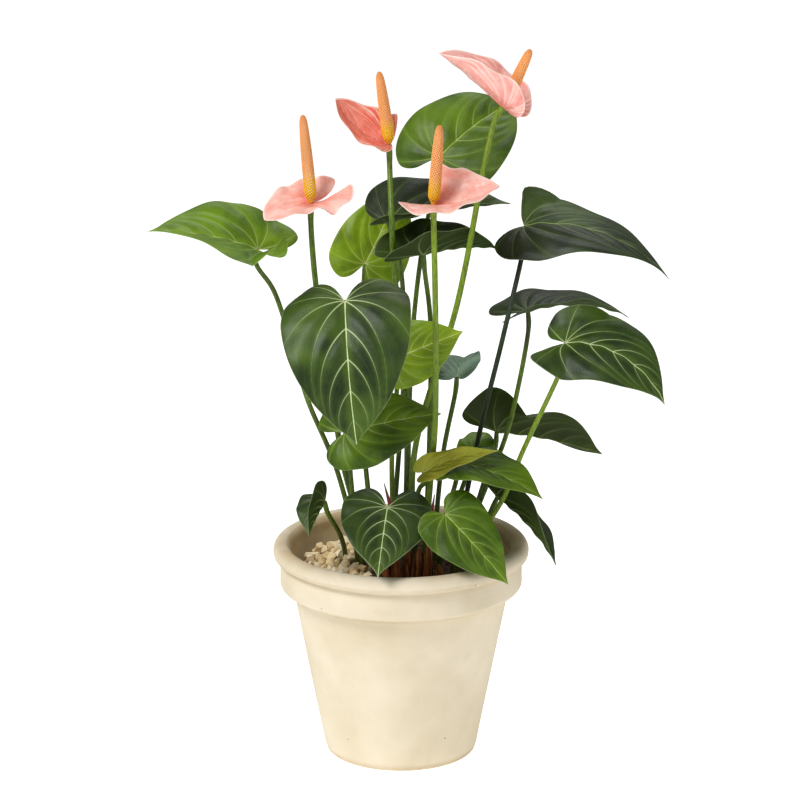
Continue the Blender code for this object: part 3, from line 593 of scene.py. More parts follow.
# %% Potting mix
mix, tree, shader = new_material("damp potting mix")
place = add(tree, "TexCoord").outputs["Object"]
crumb_noise = add(tree, "TexNoise", {"Vector": place, "Scale": 420, "Detail": 5, "Roughness": 0.7})
crumb_tone = add(tree, "MapRange", {"Value": crumb_noise, "From Min": 0.4, "From Max": 0.72})
earth = washed(tree, "2A1B12", (crumb_tone, "6B4A2E"))
bump = add(tree, "Bump", {"Height": crumb_noise, "Strength": 0.8, "Distance": 0.001})
feed(tree, shader, {"Base Color": earth, "Normal": bump, "Roughness": 0.92})

soil = bpy.data.objects["potting_soil"]
soil.data.materials.clear()
soil.data.materials.append(mix)
print("the mix is dark and damp")

# %% [markdown]
# ## Strewn pieces
# Crumbs and gravel chips are made the same way. A few broken stones are the pattern.
# The tree strews points over a ground at an even distance, drops a random stone on each, turns and sizes
# it, and gives it a tone of its own for the shader. The tightest skin round a few random points is a stone
# with broken faces and crisp edges. It has some two dozen faces, few enough for hundreds of stones.

# %% Stones and the tree that strews them
STONE_KINDS = 7
STONE_CORNERS = 14


def stone(name, generator, collection):
    """A broken stone of unit size: the tightest skin round random points near a ball."""
    draft = bmesh.new()
    stretch = generator.uniform(0.75, 1.1, 3)
    for _ in range(STONE_CORNERS):
        away = Vector(generator.normal(size=3)).normalized() * generator.uniform(0.48, 0.6)
        draft.verts.new(Vector(a * b for a, b in zip(away, stretch)))
    hull = bmesh.ops.convex_hull(draft, input=draft.verts)
    bmesh.ops.delete(draft, geom=list(set(hull["geom_interior"] + hull["geom_unused"])), context="VERTS")
    bmesh.ops.recalc_face_normals(draft, faces=draft.faces)
    collection.objects.link(bpy.data.objects.new(name, meshed(name, draft)))


stones = bpy.data.collections.new("stones")
stone_generator = np.random.default_rng(5)
for index in range(STONE_KINDS):
    stone(f"stone_{index}", stone_generator, stones)

strew, inputs = new_tree("strew stones", {
    "Stones": "NodeSocketCollection", "Spacing": "NodeSocketFloat", "Density": "NodeSocketFloat",
    "Smallest": "NodeSocketFloat", "Largest": "NodeSocketFloat", "Seed": "NodeSocketInt",
    "Finish": "NodeSocketMaterial"})
spread = add(strew, "GeometryNodeDistributePointsOnFaces",
             {"Mesh": inputs["Geometry"], "Distance Min": inputs["Spacing"],
              "Density Max": inputs["Density"], "Seed": inputs["Seed"]}, distribute_method="POISSON")
kinds = add(strew, "GeometryNodeCollectionInfo",
            {"Collection": inputs["Stones"], "Separate Children": True, "Reset Children": True})
turns = add(strew, "FunctionNodeRandomValue", {"Max": (math.tau,) * 3, "Seed": 3},
            data_type="FLOAT_VECTOR")
sizes = add(strew, "FunctionNodeRandomValue",
            {"Min": inputs["Smallest"], "Max": inputs["Largest"], "Seed": 4}, data_type="FLOAT")
tones = add(strew, "FunctionNodeRandomValue", {"Seed": 9}, data_type="FLOAT")
toned = add(strew, "GeometryNodeStoreNamedAttribute",
            {"Geometry": spread.outputs["Points"], "Name": "tone", "Value": tones}, data_type="FLOAT",
            domain="POINT")
turned_by = add(strew, "FunctionNodeEulerToRotation", (turns,))
dropped = add(strew, "GeometryNodeInstanceOnPoints",
              {"Points": toned, "Instance": kinds, "Pick Instance": True, "Rotation": turned_by,
               "Scale": sizes})
close_tree(strew, dropped, inputs["Finish"])
print("stone kinds:", STONE_KINDS)

# %% [markdown]
# ### Two grounds to strew on
# Crumbs go over the whole mouth, gravel over its left side, where the solid's bed lies. Both grounds are
# plain discs that follow the mix's gentle hill. Places of stalks stay open, since a stone there would be
# pierced: faces near a stalk's foot are left out of the ground.

# %% Grounds
SOIL_EDGE_HEIGHT = 168
SOIL_CROWN_HEIGHT = 174
BED_RIGHT_END = -27
BED_RISE = 6
STALK_GAP = 5.5


def soil_height(radius):
    """Height of the mix at a distance from the pot's axis."""
    share = np.clip(radius / inner_radius(SOIL_EDGE_HEIGHT), 0, 1)
    return SOIL_CROWN_HEIGHT + (SOIL_EDGE_HEIGHT - SOIL_CROWN_HEIGHT) * share**2


def ground(name, reach, rise, right_end, feet):
    """A disc that follows the mix's hill, cut at its right end and open round the stalks' feet."""
    draft = bmesh.new()
    bmesh.ops.create_grid(draft, x_segments=90, y_segments=90, size=reach * MM)
    outside = []
    for face in draft.faces:
        x, y = face.calc_center_median().xy / MM
        near = min(math.hypot(x - a, y - b) for a, b in feet) < STALK_GAP
        if math.hypot(x, y) > reach or x > right_end or near:
            outside.append(face)
    bmesh.ops.delete(draft, geom=outside, context="FACES")
    for corner in draft.verts:
        corner.co.z = (soil_height(corner.co.xy.length / MM) + rise) * MM
    return linked(name, meshed(name, draft))


feet = [leaf.root for leaf in LEAVES] + [bloom.root for bloom in BLOOMS] + [root for _, root, _ in SHEATHS]
wall = inner_radius(SOIL_EDGE_HEIGHT)
crumbs = grown("bark_crumbs", ground("crumb_ground", wall - 4, -0.3, wall, feet), strew, {
    "Stones": stones, "Spacing": 2.6 * MM, "Density": 60000.0, "Smallest": 2.0 * MM, "Largest": 5.0 * MM,
    "Seed": 1, "Finish": mix})
crumbs.data.shade_flat()
stands_for(crumbs, "soil")
print("crumb triangles:", len(crumbs.data.polygons))

# %% [markdown]
# ### Gravel
# Cream limestone chips, about 9 to 14 mm across, lie in two layers: a tight lower one that closes the bed,
# and a looser upper one that gives it its broken outline. Limestone is matt and powdery. Each chip has its
# own tone between cream and tan with patches of brown dirt, and painted shade turns the low parts of the
# chips, down in the gaps between them, to the brown of the mix.

# %% Gravel
limestone, tree, shader = new_material("broken limestone")
place = add(tree, "TexCoord").outputs["Object"]
tone = add(tree, "Attribute", attribute_name="tone").outputs["Fac"]
powder = add(tree, "TexNoise", {"Vector": place, "Scale": 260, "Detail": 5, "Roughness": 0.65})
dirt = add(tree, "MapRange", {"Value": powder, "From Min": 0.52, "From Max": 0.75, "To Max": 0.6})
height = add(tree, "SeparateXYZ", (place,)).outputs["Z"]
# Painted shade: the lower a place on a chip lies, down in the gaps between chips, the darker brown it is
# painted
deep = add(tree, "MapRange", {"Value": height, "From Min": 0.176, "From Max": 0.17, "To Max": 0.7})
colour = washed(tree, "F5E6C4", (tone, "DBBD88"), (dirt, "A87E4C"), (deep, "8C6A42"))
bump = add(tree, "Bump", {"Height": powder, "Strength": 0.5, "Distance": 0.0004})
feed(tree, shader, {"Base Color": colour, "Normal": bump, "Roughness": 0.9, "Specular IOR Level": 0.25})

layers = []
for rise, spacing, smallest, largest, seed in ((1.5, 6.6, 9.0, 12.0, 2), (BED_RISE + 1, 8.2, 9.0, 14.0, 6)):
    bed = ground("gravel_ground", wall - 7.5, rise, BED_RIGHT_END - 2, feet)
    layers.append(grown("gravel_layer", bed, strew, {
        "Stones": stones, "Spacing": spacing * MM, "Density": 60000.0, "Smallest": smallest * MM,
        "Largest": largest * MM, "Seed": seed, "Finish": limestone}))
gravel = joined("limestone_gravel", layers)
gravel.data.shade_flat()
stands_for(gravel, "gravel", "gravel")
print("gravel triangles:", len(gravel.data.polygons))

# %% [markdown]
# ## Stalks
# Each leaf stands on a petiole of four to six millimetres, with a swollen knee just under the blade that
# turns the leaf to the light. The path runs from the hole in the mix through the table's points to the
# knee. A smooth curve through points is what a drawn spline gives, and a short function makes it. The tree
# then lays a circle along the path with the path's own radius at each point, and keeps the distance along
# it as an attribute for the shader.

# %% Paths
HOLE_FLOOR = 152.3
STALK_RADIUS = 2.3
BLOOM_STALK_RADIUS = 2.7
KNEE_LENGTH = 13
TOP_TAPER = 0.85
LEAF_THICKNESS = 0.7
SPATHE_THICKNESS = 0.8


def smooth_path(points, step):
    """Points along a smooth curve that passes through the given ones."""
    points = np.array(points, float)
    ends = np.vstack([2 * points[0] - points[1], points, 2 * points[-1] - points[-2]])
    path = [points[0]]
    for a, b, c, d in zip(ends, ends[1:], ends[2:], ends[3:]):
        k = np.cumsum([0] + [max(np.linalg.norm(q - p), 1e-6) ** 0.5 for p, q in ((a, b), (b, c), (c, d))])
        steps = max(1, round(float(np.linalg.norm(c - b)) / step))
        for t in k[1] + (k[2] - k[1]) * np.arange(1, steps + 1) / steps:
            ab = (k[1] - t) / (k[1] - k[0]) * a + (t - k[0]) / (k[1] - k[0]) * b
            bc = (k[2] - t) / (k[2] - k[1]) * b + (t - k[1]) / (k[2] - k[1]) * c
            cd = (k[3] - t) / (k[3] - k[2]) * c + (t - k[2]) / (k[3] - k[2]) * d
            abc = (k[2] - t) / (k[2] - k[0]) * ab + (t - k[0]) / (k[2] - k[0]) * bc
            bcd = (k[3] - t) / (k[3] - k[1]) * bc + (t - k[1]) / (k[3] - k[1]) * cd
            path.append((k[2] - t) / (k[2] - k[1]) * abc + (t - k[1]) / (k[2] - k[1]) * bcd)
    return np.array(path)


def blade_axes(blade):
    """Joint, length to the tip, and directions along the midrib, out of the upper face and to the left."""
    joint = np.array(blade.joint, float)
    along = np.array(blade.tip, float) - joint
    length = float(np.linalg.norm(along))
    along /= length
    up = np.array(blade.facing, float)
    up -= up.dot(along) * along
    up /= np.linalg.norm(up)
    return joint, length, along, up, np.cross(up, along)


def joint_of(blade):
    """The joint and the upper face's direction there."""
    joint, _, along, up, _ = blade_axes(blade)
    rise = math.radians(blade.arch) / 2
    return joint, math.cos(rise) * up - math.sin(rise) * along


def stalk_path(root, bends, blade, step=5):
    """The path of a stalk from the floor of its hole to the underside of its blade."""
    joint, upwards = joint_of(blade)
    coming = joint - np.array(bends[-1], float)
    approach = upwards + coming / np.linalg.norm(coming)
    approach /= np.linalg.norm(approach)
    top = joint - 0.6 * upwards
    foot = [(*root, HOLE_FLOOR), (*root, SOIL_CROWN_HEIGHT + 6)]
    return smooth_path([*foot, *bends, top - approach * KNEE_LENGTH, top], step)


example = stalk_path(LEAVES[0].root, LEAVES[0].bends, LEAVES[0].blade)
print("points along the first stalk:", len(example))

# %% The tree that lays a circle along a path
lay, inputs = new_tree("round stalk", {"Sides": "NodeSocketInt", "Finish": "NodeSocketMaterial"})
curve = add(lay, "GeometryNodeMeshToCurve", {"Mesh": inputs["Geometry"]})
thick = add(lay, "GeometryNodeInputNamedAttribute", {"Name": "thick"}, data_type="FLOAT")
ring = add(lay, "GeometryNodeCurvePrimitiveCircle", {"Resolution": inputs["Sides"], "Radius": 1})
along = add(lay, "GeometryNodeSplineParameter").outputs["Length"]
marked = add(lay, "GeometryNodeStoreNamedAttribute", {"Geometry": curve, "Name": "along", "Value": along},
             data_type="FLOAT", domain="POINT")
stalk_skin = add(lay, "GeometryNodeCurveToMesh",
                 {"Curve": marked, "Profile Curve": ring, "Scale": thick, "Fill Caps": True})
rounded = add(lay, "GeometryNodeSetShadeSmooth", {"Geometry": stalk_skin})
close_tree(lay, rounded, inputs["Finish"])


def laid(name, path, radii, finish, sides=20):
    """A round stalk along a path, with its own radius in millimetres at each point."""
    mesh = bpy.data.meshes.new(name)
    mesh.from_pydata([tuple(point * MM) for point in path], [(i, i + 1) for i in range(len(path) - 1)], [])
    thickness = mesh.attributes.new("thick", "FLOAT", "POINT")
    thickness.data.foreach_set("value", np.array(radii, np.float32) * MM)
    return grown(name, linked(name, mesh), lay, {"Sides": sides, "Finish": finish})


print("the stalk tree takes sides and a finish")

# %% [markdown]
# ### The skin of a petiole
# An anthurium's petiole is waxy and fresh green, browner towards its foot and where it has aged, with fine
# darker dashes along it. The noise is stretched upright along Z, so its dashes run upright, along stalks that
# stand up; the length along each stalk only browns its foot. A thin clear coat stands for the wax.

# %% Petiole material


def stem_material(name, light, dark, aged, ageing=0.55):
    """Waxy stem skin in three colours: lit green, darker dashes, aged brown."""
    made, tree, shader = new_material(name)
    place = add(tree, "TexCoord").outputs["Object"]
    along = add(tree, "Attribute", attribute_name="along").outputs["Fac"]
    squeezed = add(tree, "VectorMath", (place, (1, 1, 0.16)), operation="MULTIPLY")
    dashes = add(tree, "TexNoise", {"Vector": squeezed, "Scale": 900, "Detail": 3})
    dash = add(tree, "MapRange", {"Value": dashes, "From Min": 0.45, "From Max": 0.7})
    old = add(tree, "TexNoise", {"Vector": place, "Scale": 22, "Detail": 2})
    low = add(tree, "MapRange", {"Value": along, "From Min": 0.16, "From Max": 0.02, "To Max": 0.5})
    spots = add(tree, "MapRange", {"Value": old, "From Min": 0.48, "From Max": 0.66, "To Max": ageing})
    either = add(tree, "Math", (low, spots), operation="MAXIMUM")
    skin = washed(tree, light, (dash, dark), (either, aged))
    bump = add(tree, "Bump", {"Height": dashes, "Strength": 0.25, "Distance": 0.0003})
    feed(tree, shader,
         {"Base Color": skin, "Normal": bump, "Roughness": 0.46, "Coat Weight": 0.15,
          "Coat Roughness": 0.3})
    return made


PETIOLES = {
    "green": stem_material("waxy green petiole", "5F7C0A", "34480A", "26270A"),
    "young": stem_material("waxy young petiole", "7E9A14", "567010", "4A5614", 0.25),
    # Painted shade: the shaded petiole is a darker copy of the green one, for a stalk that stands in shadow
    "shaded": stem_material("old dark petiole", "26381A", "151F0F", "1C150C"),
}
print("petioles:", ", ".join(PETIOLES))

# %% Stalks in place
STALK_SKINS = {"leaf_right_heart": "young", "leaf_centre_bright": "young", "bloom_centre": "young",
               "bloom_top_right": "young", "leaf_right_top": "shaded"}


def knee_radii(path, radius):
    """Radius along a stalk: swollen at the foot and at the knee, slim between."""
    gone = np.concatenate([[0], np.cumsum(np.linalg.norm(np.diff(path, axis=0), axis=1))])
    left = gone[-1] - gone
    share = gone / gone[-1]
    knee = 0.16 * np.exp(-((left - 8) / 6.5) ** 2)
    return radius * (np.interp(share, (0, 0.25, 0.9, 1), (1.3, 1, 0.93, TOP_TAPER)) + knee)


growing = [(leaf.name, leaf.root, leaf.bends, leaf.blade, STALK_RADIUS) for leaf in LEAVES]
growing += [(bloom.name, bloom.root, bloom.bends, bloom.spathe, BLOOM_STALK_RADIUS) for bloom in BLOOMS]
for name, root, bends, blade, radius in growing:
    path = stalk_path(root, bends, blade)
    finish = PETIOLES[STALK_SKINS.get(name, "green")]
    piece = laid(name + "_petiole", path, knee_radii(path, radius), finish)
    stands_for(piece, "stalk", name + "_stalk")
print("stalks:", len(growing))

# %% [markdown]
# ## Blades
# A leaf is a thin shell. Rays run from the joint to the outline and rings lie across them, as on a fan, so
# the heart shape, its lobes and its notch come out clean. Each corner's flat place in the leaf is bent to
# where the leaf hangs by the same steps as its solid: an arch along the midrib, a fold and a curl across
# it, a wave at the margin, a twist. The shell is written corner by corner, because top, underside and
# margin need places of their own: veins are sunk into the top, the midrib stands out below, and the blade
# thins towards its margin.

# %% Blade shapes
HALF_WIDTH_SHARE = 0.42
LOBE_SHARE = 0.3
LOBE_START = 0.15
RAY_STEP = 0.03
RING_COUNT = 40

# Half outlines from the tip round a lobe to the notch at the joint, as shares of the midrib's length
LEAF_OUTLINE = ((1.0, 0.0), (0.93, 0.035), (0.82, 0.125), (0.62, 0.27), (0.36, 0.385), (0.1, 0.42),
                (-0.12, 0.39), (-0.25, 0.3), (-0.3, 0.185), (-0.23, 0.09), (-0.03, 0.018))
SPATHE_OUTLINE = ((1.0, 0.0), (0.975, 0.06), (0.89, 0.17), (0.66, 0.32), (0.36, 0.42), (0.1, 0.45),
                  (-0.12, 0.42), (-0.26, 0.31), (-0.29, 0.16), (-0.2, 0.055), (-0.03, 0.02))


def arc_offset(start, bend, distance):
    """How far an evenly bending line has gone forward and up from its start, and its angle there."""
    half = bend * distance / 2
    chord = distance * np.sinc(half / math.pi)
    return chord * np.cos(start + half), chord * np.sin(start + half), start + bend * distance


def blade_points(blade, x, y):
    """Places on a blade's middle surface, for shares of the midrib's length along it and to its left."""
    joint, length, along, up, left = blade_axes(blade)
    arch = math.radians(blade.arch)
    full = length * (arch / 2) / math.sin(arch / 2) if arch else length
    lobe_bend = arch - math.radians(blade.lift) / LOBE_SHARE
    bend = np.where(x < 0, -lobe_bend, -arch) / full
    forward, height, angle = arc_offset(arch / 2, bend, x * full)
    side = np.where(y < 0, 1, 0)
    lobe = np.clip((LOBE_START - x) / LOBE_SHARE, 0, 1)
    across = np.abs(y) * full
    half_width = HALF_WIDTH_SHARE * full * blade.width
    fold = np.radians(np.take(blade.fold, side))
    curl = np.radians(np.take(blade.curl, side) + np.take(blade.lobe_curl, side) * lobe) / half_width
    out, rise, _ = arc_offset(fold, curl, across)
    wave = blade.wave * (across / half_width) ** 2 * np.sin(math.tau * blade.turns * x + 2.2 * side)
    twist = math.radians(blade.twist) * x
    above = np.cos(angle)[..., None] * up - np.sin(angle)[..., None] * along
    lean_left = np.cos(twist)[..., None] * left + np.sin(twist)[..., None] * above
    lean_up = np.cos(twist)[..., None] * above - np.sin(twist)[..., None] * left
    spine = joint + forward[..., None] * along + height[..., None] * up
    spine = spine + (blade.bow * 4 * x * (1 - x))[..., None] * left
    sideways = np.where(y < 0, -out, out)
    return spine + sideways[..., None] * lean_left + (rise + wave)[..., None] * lean_up


def blade_fan(blade, outline):
    """Flat places of a blade's corners, a row for each ray from right notch over the tip to left notch."""
    left, right = [smooth_path([(x * lobe if x < 0 else x, y * blade.width) for x, y in outline], RAY_STEP)
                   for lobe in blade.lobes]
    rim = np.vstack([right[::-1] * (1, -1), left[1:]])
    rings = np.linspace(0, 1, RING_COUNT + 1)[1:]
    return rim[:, None, :] * rings[None, :, None], rings


fan, _ = blade_fan(LEAVES[0].blade, LEAF_OUTLINE)
print("rays and rings of a leaf:", fan.shape[:2])

# %% [markdown]
# ### Where the veins run
# The veins of an anthurium leaf all start at the joint or at the midrib and bend towards the tip. Basal
# veins leave the joint like the lines of parentheses. A neat way to draw such a family is by angle: all
# points that see the line from joint to tip under the same angle lie on an arc through both ends. Inside
# the innermost arc, laterals leave the midrib at that arc's angle. One number, here called the order,
# counts veins: it is whole on a vein and half-way between two of them. From it and its slope comes the
# distance to the nearest vein, which the shader turns into lines of a true width, and the quilting of the
# blade between its veins.

# %% Vein order


class Veins(NamedTuple):
    """How the veins of a kind of blade are spread."""

    angle: float  # at which laterals leave the midrib, in degrees
    spacing: float  # of laterals along the midrib, as a share of its length
    basal_step: float  # between basal veins, in degrees
    relief: float  # depth of the quilting, in millimetres


LEAF_VEINS = Veins(50, 0.2, 34, 1.2)
SPATHE_VEINS = Veins(36, 0.13, 21, 0.5)


def vein_order(x, y, veins):
    """The number that counts veins over a blade, for flat places in shares of the midrib's length."""
    y = np.abs(y) + 1e-5
    at_joint = np.arctan2(y, x)
    at_tip = np.arctan2(y, 1 - x)
    seen = at_joint + at_tip
    lens = math.radians(veins.angle)
    slope = np.tan(np.clip(lens - at_tip, 0.05, 1.5))
    lateral = (x - y / slope) / veins.spacing
    basal = (lens - seen) / math.radians(veins.basal_step)
    return np.where(seen <= lens, lateral, basal)


def vein_field(x, y, length, veins):
    """Vein order, gap between veins in millimetres and distance along a vein from its start, in shares."""
    step = 2e-3
    order = vein_order(x, y, veins)
    slope_x = (vein_order(x + step, y, veins) - vein_order(x - step, y, veins)) / (2 * step)
    high = np.abs(y) + step
    slope_y = (vein_order(x, high + step, veins) - vein_order(x, high - step, veins)) / (2 * step)
    gap = length / np.maximum(np.hypot(slope_x, slope_y), 1e-3)
    start = np.clip(order * veins.spacing, 0, 1)
    return order, np.minimum(gap, 60), np.hypot(x - start, y)


print("order on the midrib's middle:", float(vein_order(np.array(0.5), np.array(0.0), LEAF_VEINS)))

# %% The shell


def shell(name, blade, outline, thickness, veins, crumple, seed):
    """A thin closed blade with relief on its top and a keel under its midrib, and what its shader needs."""
    fan, rings = blade_fan(blade, outline)
    flat = np.vstack([np.zeros((1, 2)), fan.reshape(-1, 2)])
    x, y = flat[:, 0], flat[:, 1]
    length = blade_axes(blade)[1]
    step = 4e-3
    forward = blade_points(blade, x + step, y) - blade_points(blade, x - step, y)
    leftward = blade_points(blade, x, y + step) - blade_points(blade, x, y - step)
    normal = np.cross(forward, leftward)
    normal /= np.linalg.norm(normal, axis=1)[:, None]
    middle = blade_points(blade, x, y)

    own_x = np.where(x < 0, x / np.where(y < 0, blade.lobes[1], blade.lobes[0]), x)
    own_y = y / blade.width
    order, gap, far = vein_field(own_x, own_y, length, veins)
    ray_length = np.linalg.norm(fan[:, -1], axis=1) * length
    edge = np.concatenate([[60], ((1 - rings)[None, :] * ray_length[:, None]).ravel()])
    from_midrib = np.abs(y) * length
    from_joint = np.hypot(x, y) * length
    fade = np.clip(edge / 8, 0, 1) * np.clip(from_joint / 12, 0, 1)
    phase = np.random.default_rng(seed).uniform(0, math.tau, 6)
    quilt = veins.relief * (0.5 - 0.5 * np.cos(math.tau * order)) * np.clip(gap / 14, 0, 1) * fade
    across, down = x * length, y * length
    folds = np.sin(across / 3.1 + phase[0] + 1.3 * np.sin(down / 4.2 + phase[1]))
    folds += np.sin(down / 2.6 + phase[2] + 1.5 * np.sin(across / 5.0 + phase[3]))
    folds += 0.6 * np.sin((across + down) / 1.9 + phase[4]) * np.sin((across - down) / 2.3 + phase[5])
    swell = quilt + crumple * folds * fade
    rib = np.exp(-((from_midrib / 1.5) ** 2)) * np.clip(1.1 - own_x, 0.15, 1) * (x > -0.02)
    half = thickness / 2 * np.interp(edge, (0, 2.5), (0.4, 1))
    top = middle + normal * (half + swell - 0.45 * rib)[:, None]
    under = middle - normal * (half - swell + 0.9 * rib)[:, None]

    count = len(flat)
    rays = fan.shape[0]

    def place(ray, ring):
        return ray * RING_COUNT + ring

    faces = []
    for ray in range(rays - 1):
        faces.append((0, place(ray, 1), place(ray + 1, 1)))
        for ring in range(1, RING_COUNT):
            near = (place(ray, ring), place(ray, ring + 1))
            faces.append((*near, place(ray + 1, ring + 1), place(ray + 1, ring)))
    rim = [0] + [place(0, ring) for ring in range(1, RING_COUNT)]
    rim += [place(ray, RING_COUNT) for ray in range(rays)]
    rim += [place(rays - 1, ring) for ring in range(RING_COUNT - 1, 0, -1)]
    back = [tuple(count + corner for corner in reversed(face)) for face in faces]
    side = [(b, a, count + a, count + b) for a, b in zip(rim, rim[1:] + rim[:1])]

    mesh = bpy.data.meshes.new(name)
    mesh.from_pydata([tuple(point) for point in np.vstack([top, under]) * MM], [], faces + back + side)
    marks = {
        "veins": (order, gap, far),
        "plan": (own_x, from_midrib, edge),
        "place": (np.zeros(count), from_joint, np.full(count, phase[0])),
    }
    for label, columns in marks.items():
        values = np.column_stack(columns)
        both = np.vstack([values, values]).astype(np.float32)
        if label == "place":
            both[:count, 0] = 1
        store = mesh.attributes.new(label, "FLOAT_VECTOR", "POINT")
        store.data.foreach_set("vector", both.ravel())
    mesh.shade_smooth()
    return linked(name, mesh)


print("a shell has top, underside and margin")

# %% [markdown]
# ### The skin of a leaf
# Anthurium leaves are leathery and half glossy. Seen from above they are dark green, lighter along the
# veins, with a grey sheen where the wax mirrors the sky. The underside is paler and duller. All of it is
# drawn from the three attributes of the shell: lines of a true width where the distance to a vein is small,
# thinning along each vein, finer lines between them, a soft halo of brighter green round them, slow
# mottling, and a pale hair line at the margin. One function makes the greens of this plant.

# %% Leaf material
VEIN_WIDTHS = (0.45, 0.1)
MIDRIB_WIDTHS = (0.8, 0.2)
FINE_WIDTH = 0.1


def blade_marks(tree):
    """The shell's attributes as sockets, and the lines that they draw: veins, midrib, fine veins, halo."""
    marks = {}
    stores = (("veins", "order gap far"), ("plan", "x midrib edge"), ("place", "upper joint chance"))
    for label, names in stores:
        stored = add(tree, "Attribute", attribute_name=label)
        split = add(tree, "SeparateXYZ", (stored.outputs["Vector"],))
        marks.update(zip(names.split(), split.outputs))

    def line(distance, width, soft):
        outer = width + soft if isinstance(width, float) else add(tree, "Math", (width, soft),
                                                                  operation="ADD")
        return add(tree, "MapRange", {"Value": distance, "From Min": outer, "From Max": width},
                   interpolation_type="SMOOTHSTEP")

    folded = add(tree, "Math", (marks["order"], 0.5), operation="PINGPONG")
    near = add(tree, "Math", (folded, marks["gap"]), operation="MULTIPLY")
    width = add(tree, "MapRange",
                {"Value": marks["far"], "From Max": 0.45, "To Min": VEIN_WIDTHS[0] / 2,
                 "To Max": VEIN_WIDTHS[1] / 2})
    main = line(near, width, 0.45)
    thick = add(tree, "MapRange",
                {"Value": marks["x"], "To Min": MIDRIB_WIDTHS[0] / 2, "To Max": MIDRIB_WIDTHS[1] / 2})
    faint = add(tree, "MapRange",
                {"Value": marks["far"], "From Min": 0.04, "From Max": 0.4, "To Min": 1, "To Max": 0.15})
    end = add(tree, "MapRange",
              {"Value": marks["x"], "From Min": 0.35, "From Max": 0.85, "To Min": 1, "To Max": 0.1})
    main = add(tree, "Math", (main, faint), operation="MULTIPLY")
    main = add(tree, "Math", (main, end), operation="MULTIPLY")
    middle = line(marks["midrib"], thick, 0.45)
    ahead = add(tree, "Math", (marks["x"], -0.01), operation="GREATER_THAN")
    midrib = add(tree, "Math", (middle, ahead), operation="MULTIPLY")
    finer = add(tree, "Math", (marks["order"], 4), operation="MULTIPLY")
    folded_finer = add(tree, "Math", (finer, 0.5), operation="PINGPONG")
    quarter = add(tree, "Math", (folded_finer, marks["gap"]), operation="MULTIPLY")
    near_finer = add(tree, "Math", (quarter, 4), operation="DIVIDE")
    fine = line(near_finer, FINE_WIDTH, 0.6)
    halo = add(tree, "MapRange", {"Value": near, "From Min": 3.5, "From Max": 0, "To Max": 0.5},
               interpolation_type="SMOOTHSTEP")
    spine = add(tree, "MapRange", {"Value": marks["midrib"], "From Min": 7, "From Max": 0},
                interpolation_type="SMOOTHSTEP")
    glow = add(tree, "Math", (halo, spine), operation="MAXIMUM")
    return {**marks, "vein": main, "middle": midrib, "fine": fine, "glow": glow}


def leaf_material(name, deep, broad, bright, vein, under, glow_share=0.5, lines=0.4):
    """Leathery leaf skin: the top's deep and broad green, bright green at the veins, veins, underside."""
    made, tree, shader = new_material(name)
    marks = blade_marks(tree)
    place = add(tree, "TexCoord").outputs["Object"]
    slow = add(tree, "TexNoise", {"Vector": place, "Scale": 45, "Detail": 3, "Roughness": 0.6})
    mottle = add(tree, "MapRange", {"Value": slow, "From Min": 0.36, "From Max": 0.66})
    wide = add(tree, "TexNoise", {"Vector": place, "Scale": 17, "Detail": 2})
    lit = add(tree, "MapRange", {"Value": wide, "From Min": 0.48, "From Max": 0.68, "To Max": 0.6})
    top = washed(tree, deep, (mottle, broad), (lit, bright), (marks["glow"], bright, glow_share),
                 (marks["fine"], bright, 0.07), (marks["vein"], vein, lines),
                 (marks["middle"], vein, min(1, lines + 0.3)))
    ribs = add(tree, "Math", (marks["vein"], marks["middle"]), operation="MAXIMUM")
    back = washed(tree, under, (marks["glow"], bright, 0.4), (ribs, vein, 0.4))
    rim = add(tree, "MapRange", {"Value": marks["edge"], "From Min": 0.9, "From Max": 0.2, "To Max": 0.3})
    colour = washed(tree, back, (marks["upper"], top), (rim, vein))

    cells = add(tree, "TexVoronoi", {"Vector": place, "Scale": 620})
    raised = add(tree, "Math", (marks["vein"], -2.2, cells.outputs["Distance"]), operation="MULTIPLY_ADD")
    bump = add(tree, "Bump", {"Height": raised, "Strength": 0.35, "Distance": 0.0003})
    wax = add(tree, "MapRange",
              {"Value": slow, "From Min": 0.3, "From Max": 0.7, "To Min": 0.27, "To Max": 0.4})
    matt = add(tree, "Math", (marks["upper"], -0.14, 0.6), operation="MULTIPLY_ADD")
    rough = add(tree, "Math", (wax, matt), operation="MAXIMUM")
    feed(tree, shader,
         {"Base Color": colour, "Normal": bump, "Roughness": rough, "Specular IOR Level": 0.36})
    return made


LEAF_SKINS = {
    "dark": leaf_material("leathery dark leaf", "131E08", "22320A", "405A0A", "A9BE80", "2C3C0C"),
    "veined": leaf_material("dark leaf with pale veins", "1A2C0C", "30460E", "567414", "CCDAA4", "2C3C0C",
                            lines=0.8),
    "shaded": leaf_material("shaded dark leaf", "222E06", "30400A", "465A0E", "8DA050", "2E3D08"),
    "mid": leaf_material("leathery green leaf", "304802", "486604", "6C8C08", "B4C874", "5A7612"),
    "fresh": leaf_material("fresh green leaf", "3E5E04", "5C8208", "84A614", "C8DA90", "6A8A14"),
    "bright": leaf_material("young bright leaf", "5C7802", "7A9A06", "98B40E", "D5E088", "88A41C"),
    "olive": leaf_material("young olive leaf", "70760A", "94931A", "A9AA2A", "D2D47C", "9C9C34", 0.4),
    # Painted sheen: the silver skin paints the grey sheen of the wax into the colour of a small leaf
    "silver": leaf_material("silvery worn leaf", "4A6450", "7C9A84", "90AE8C", "C4D8BC", "74947A", 0.35),
}
SPECIAL_SKINS = {"leaf_front_heart": "veined", "leaf_right_heart": "veined", "leaf_front_low": "veined",
                 "leaf_right_low": "shaded", "leaf_far_left": "fresh", "leaf_behind_round": "fresh"}
print("leaf skins:", ", ".join(LEAF_SKINS))

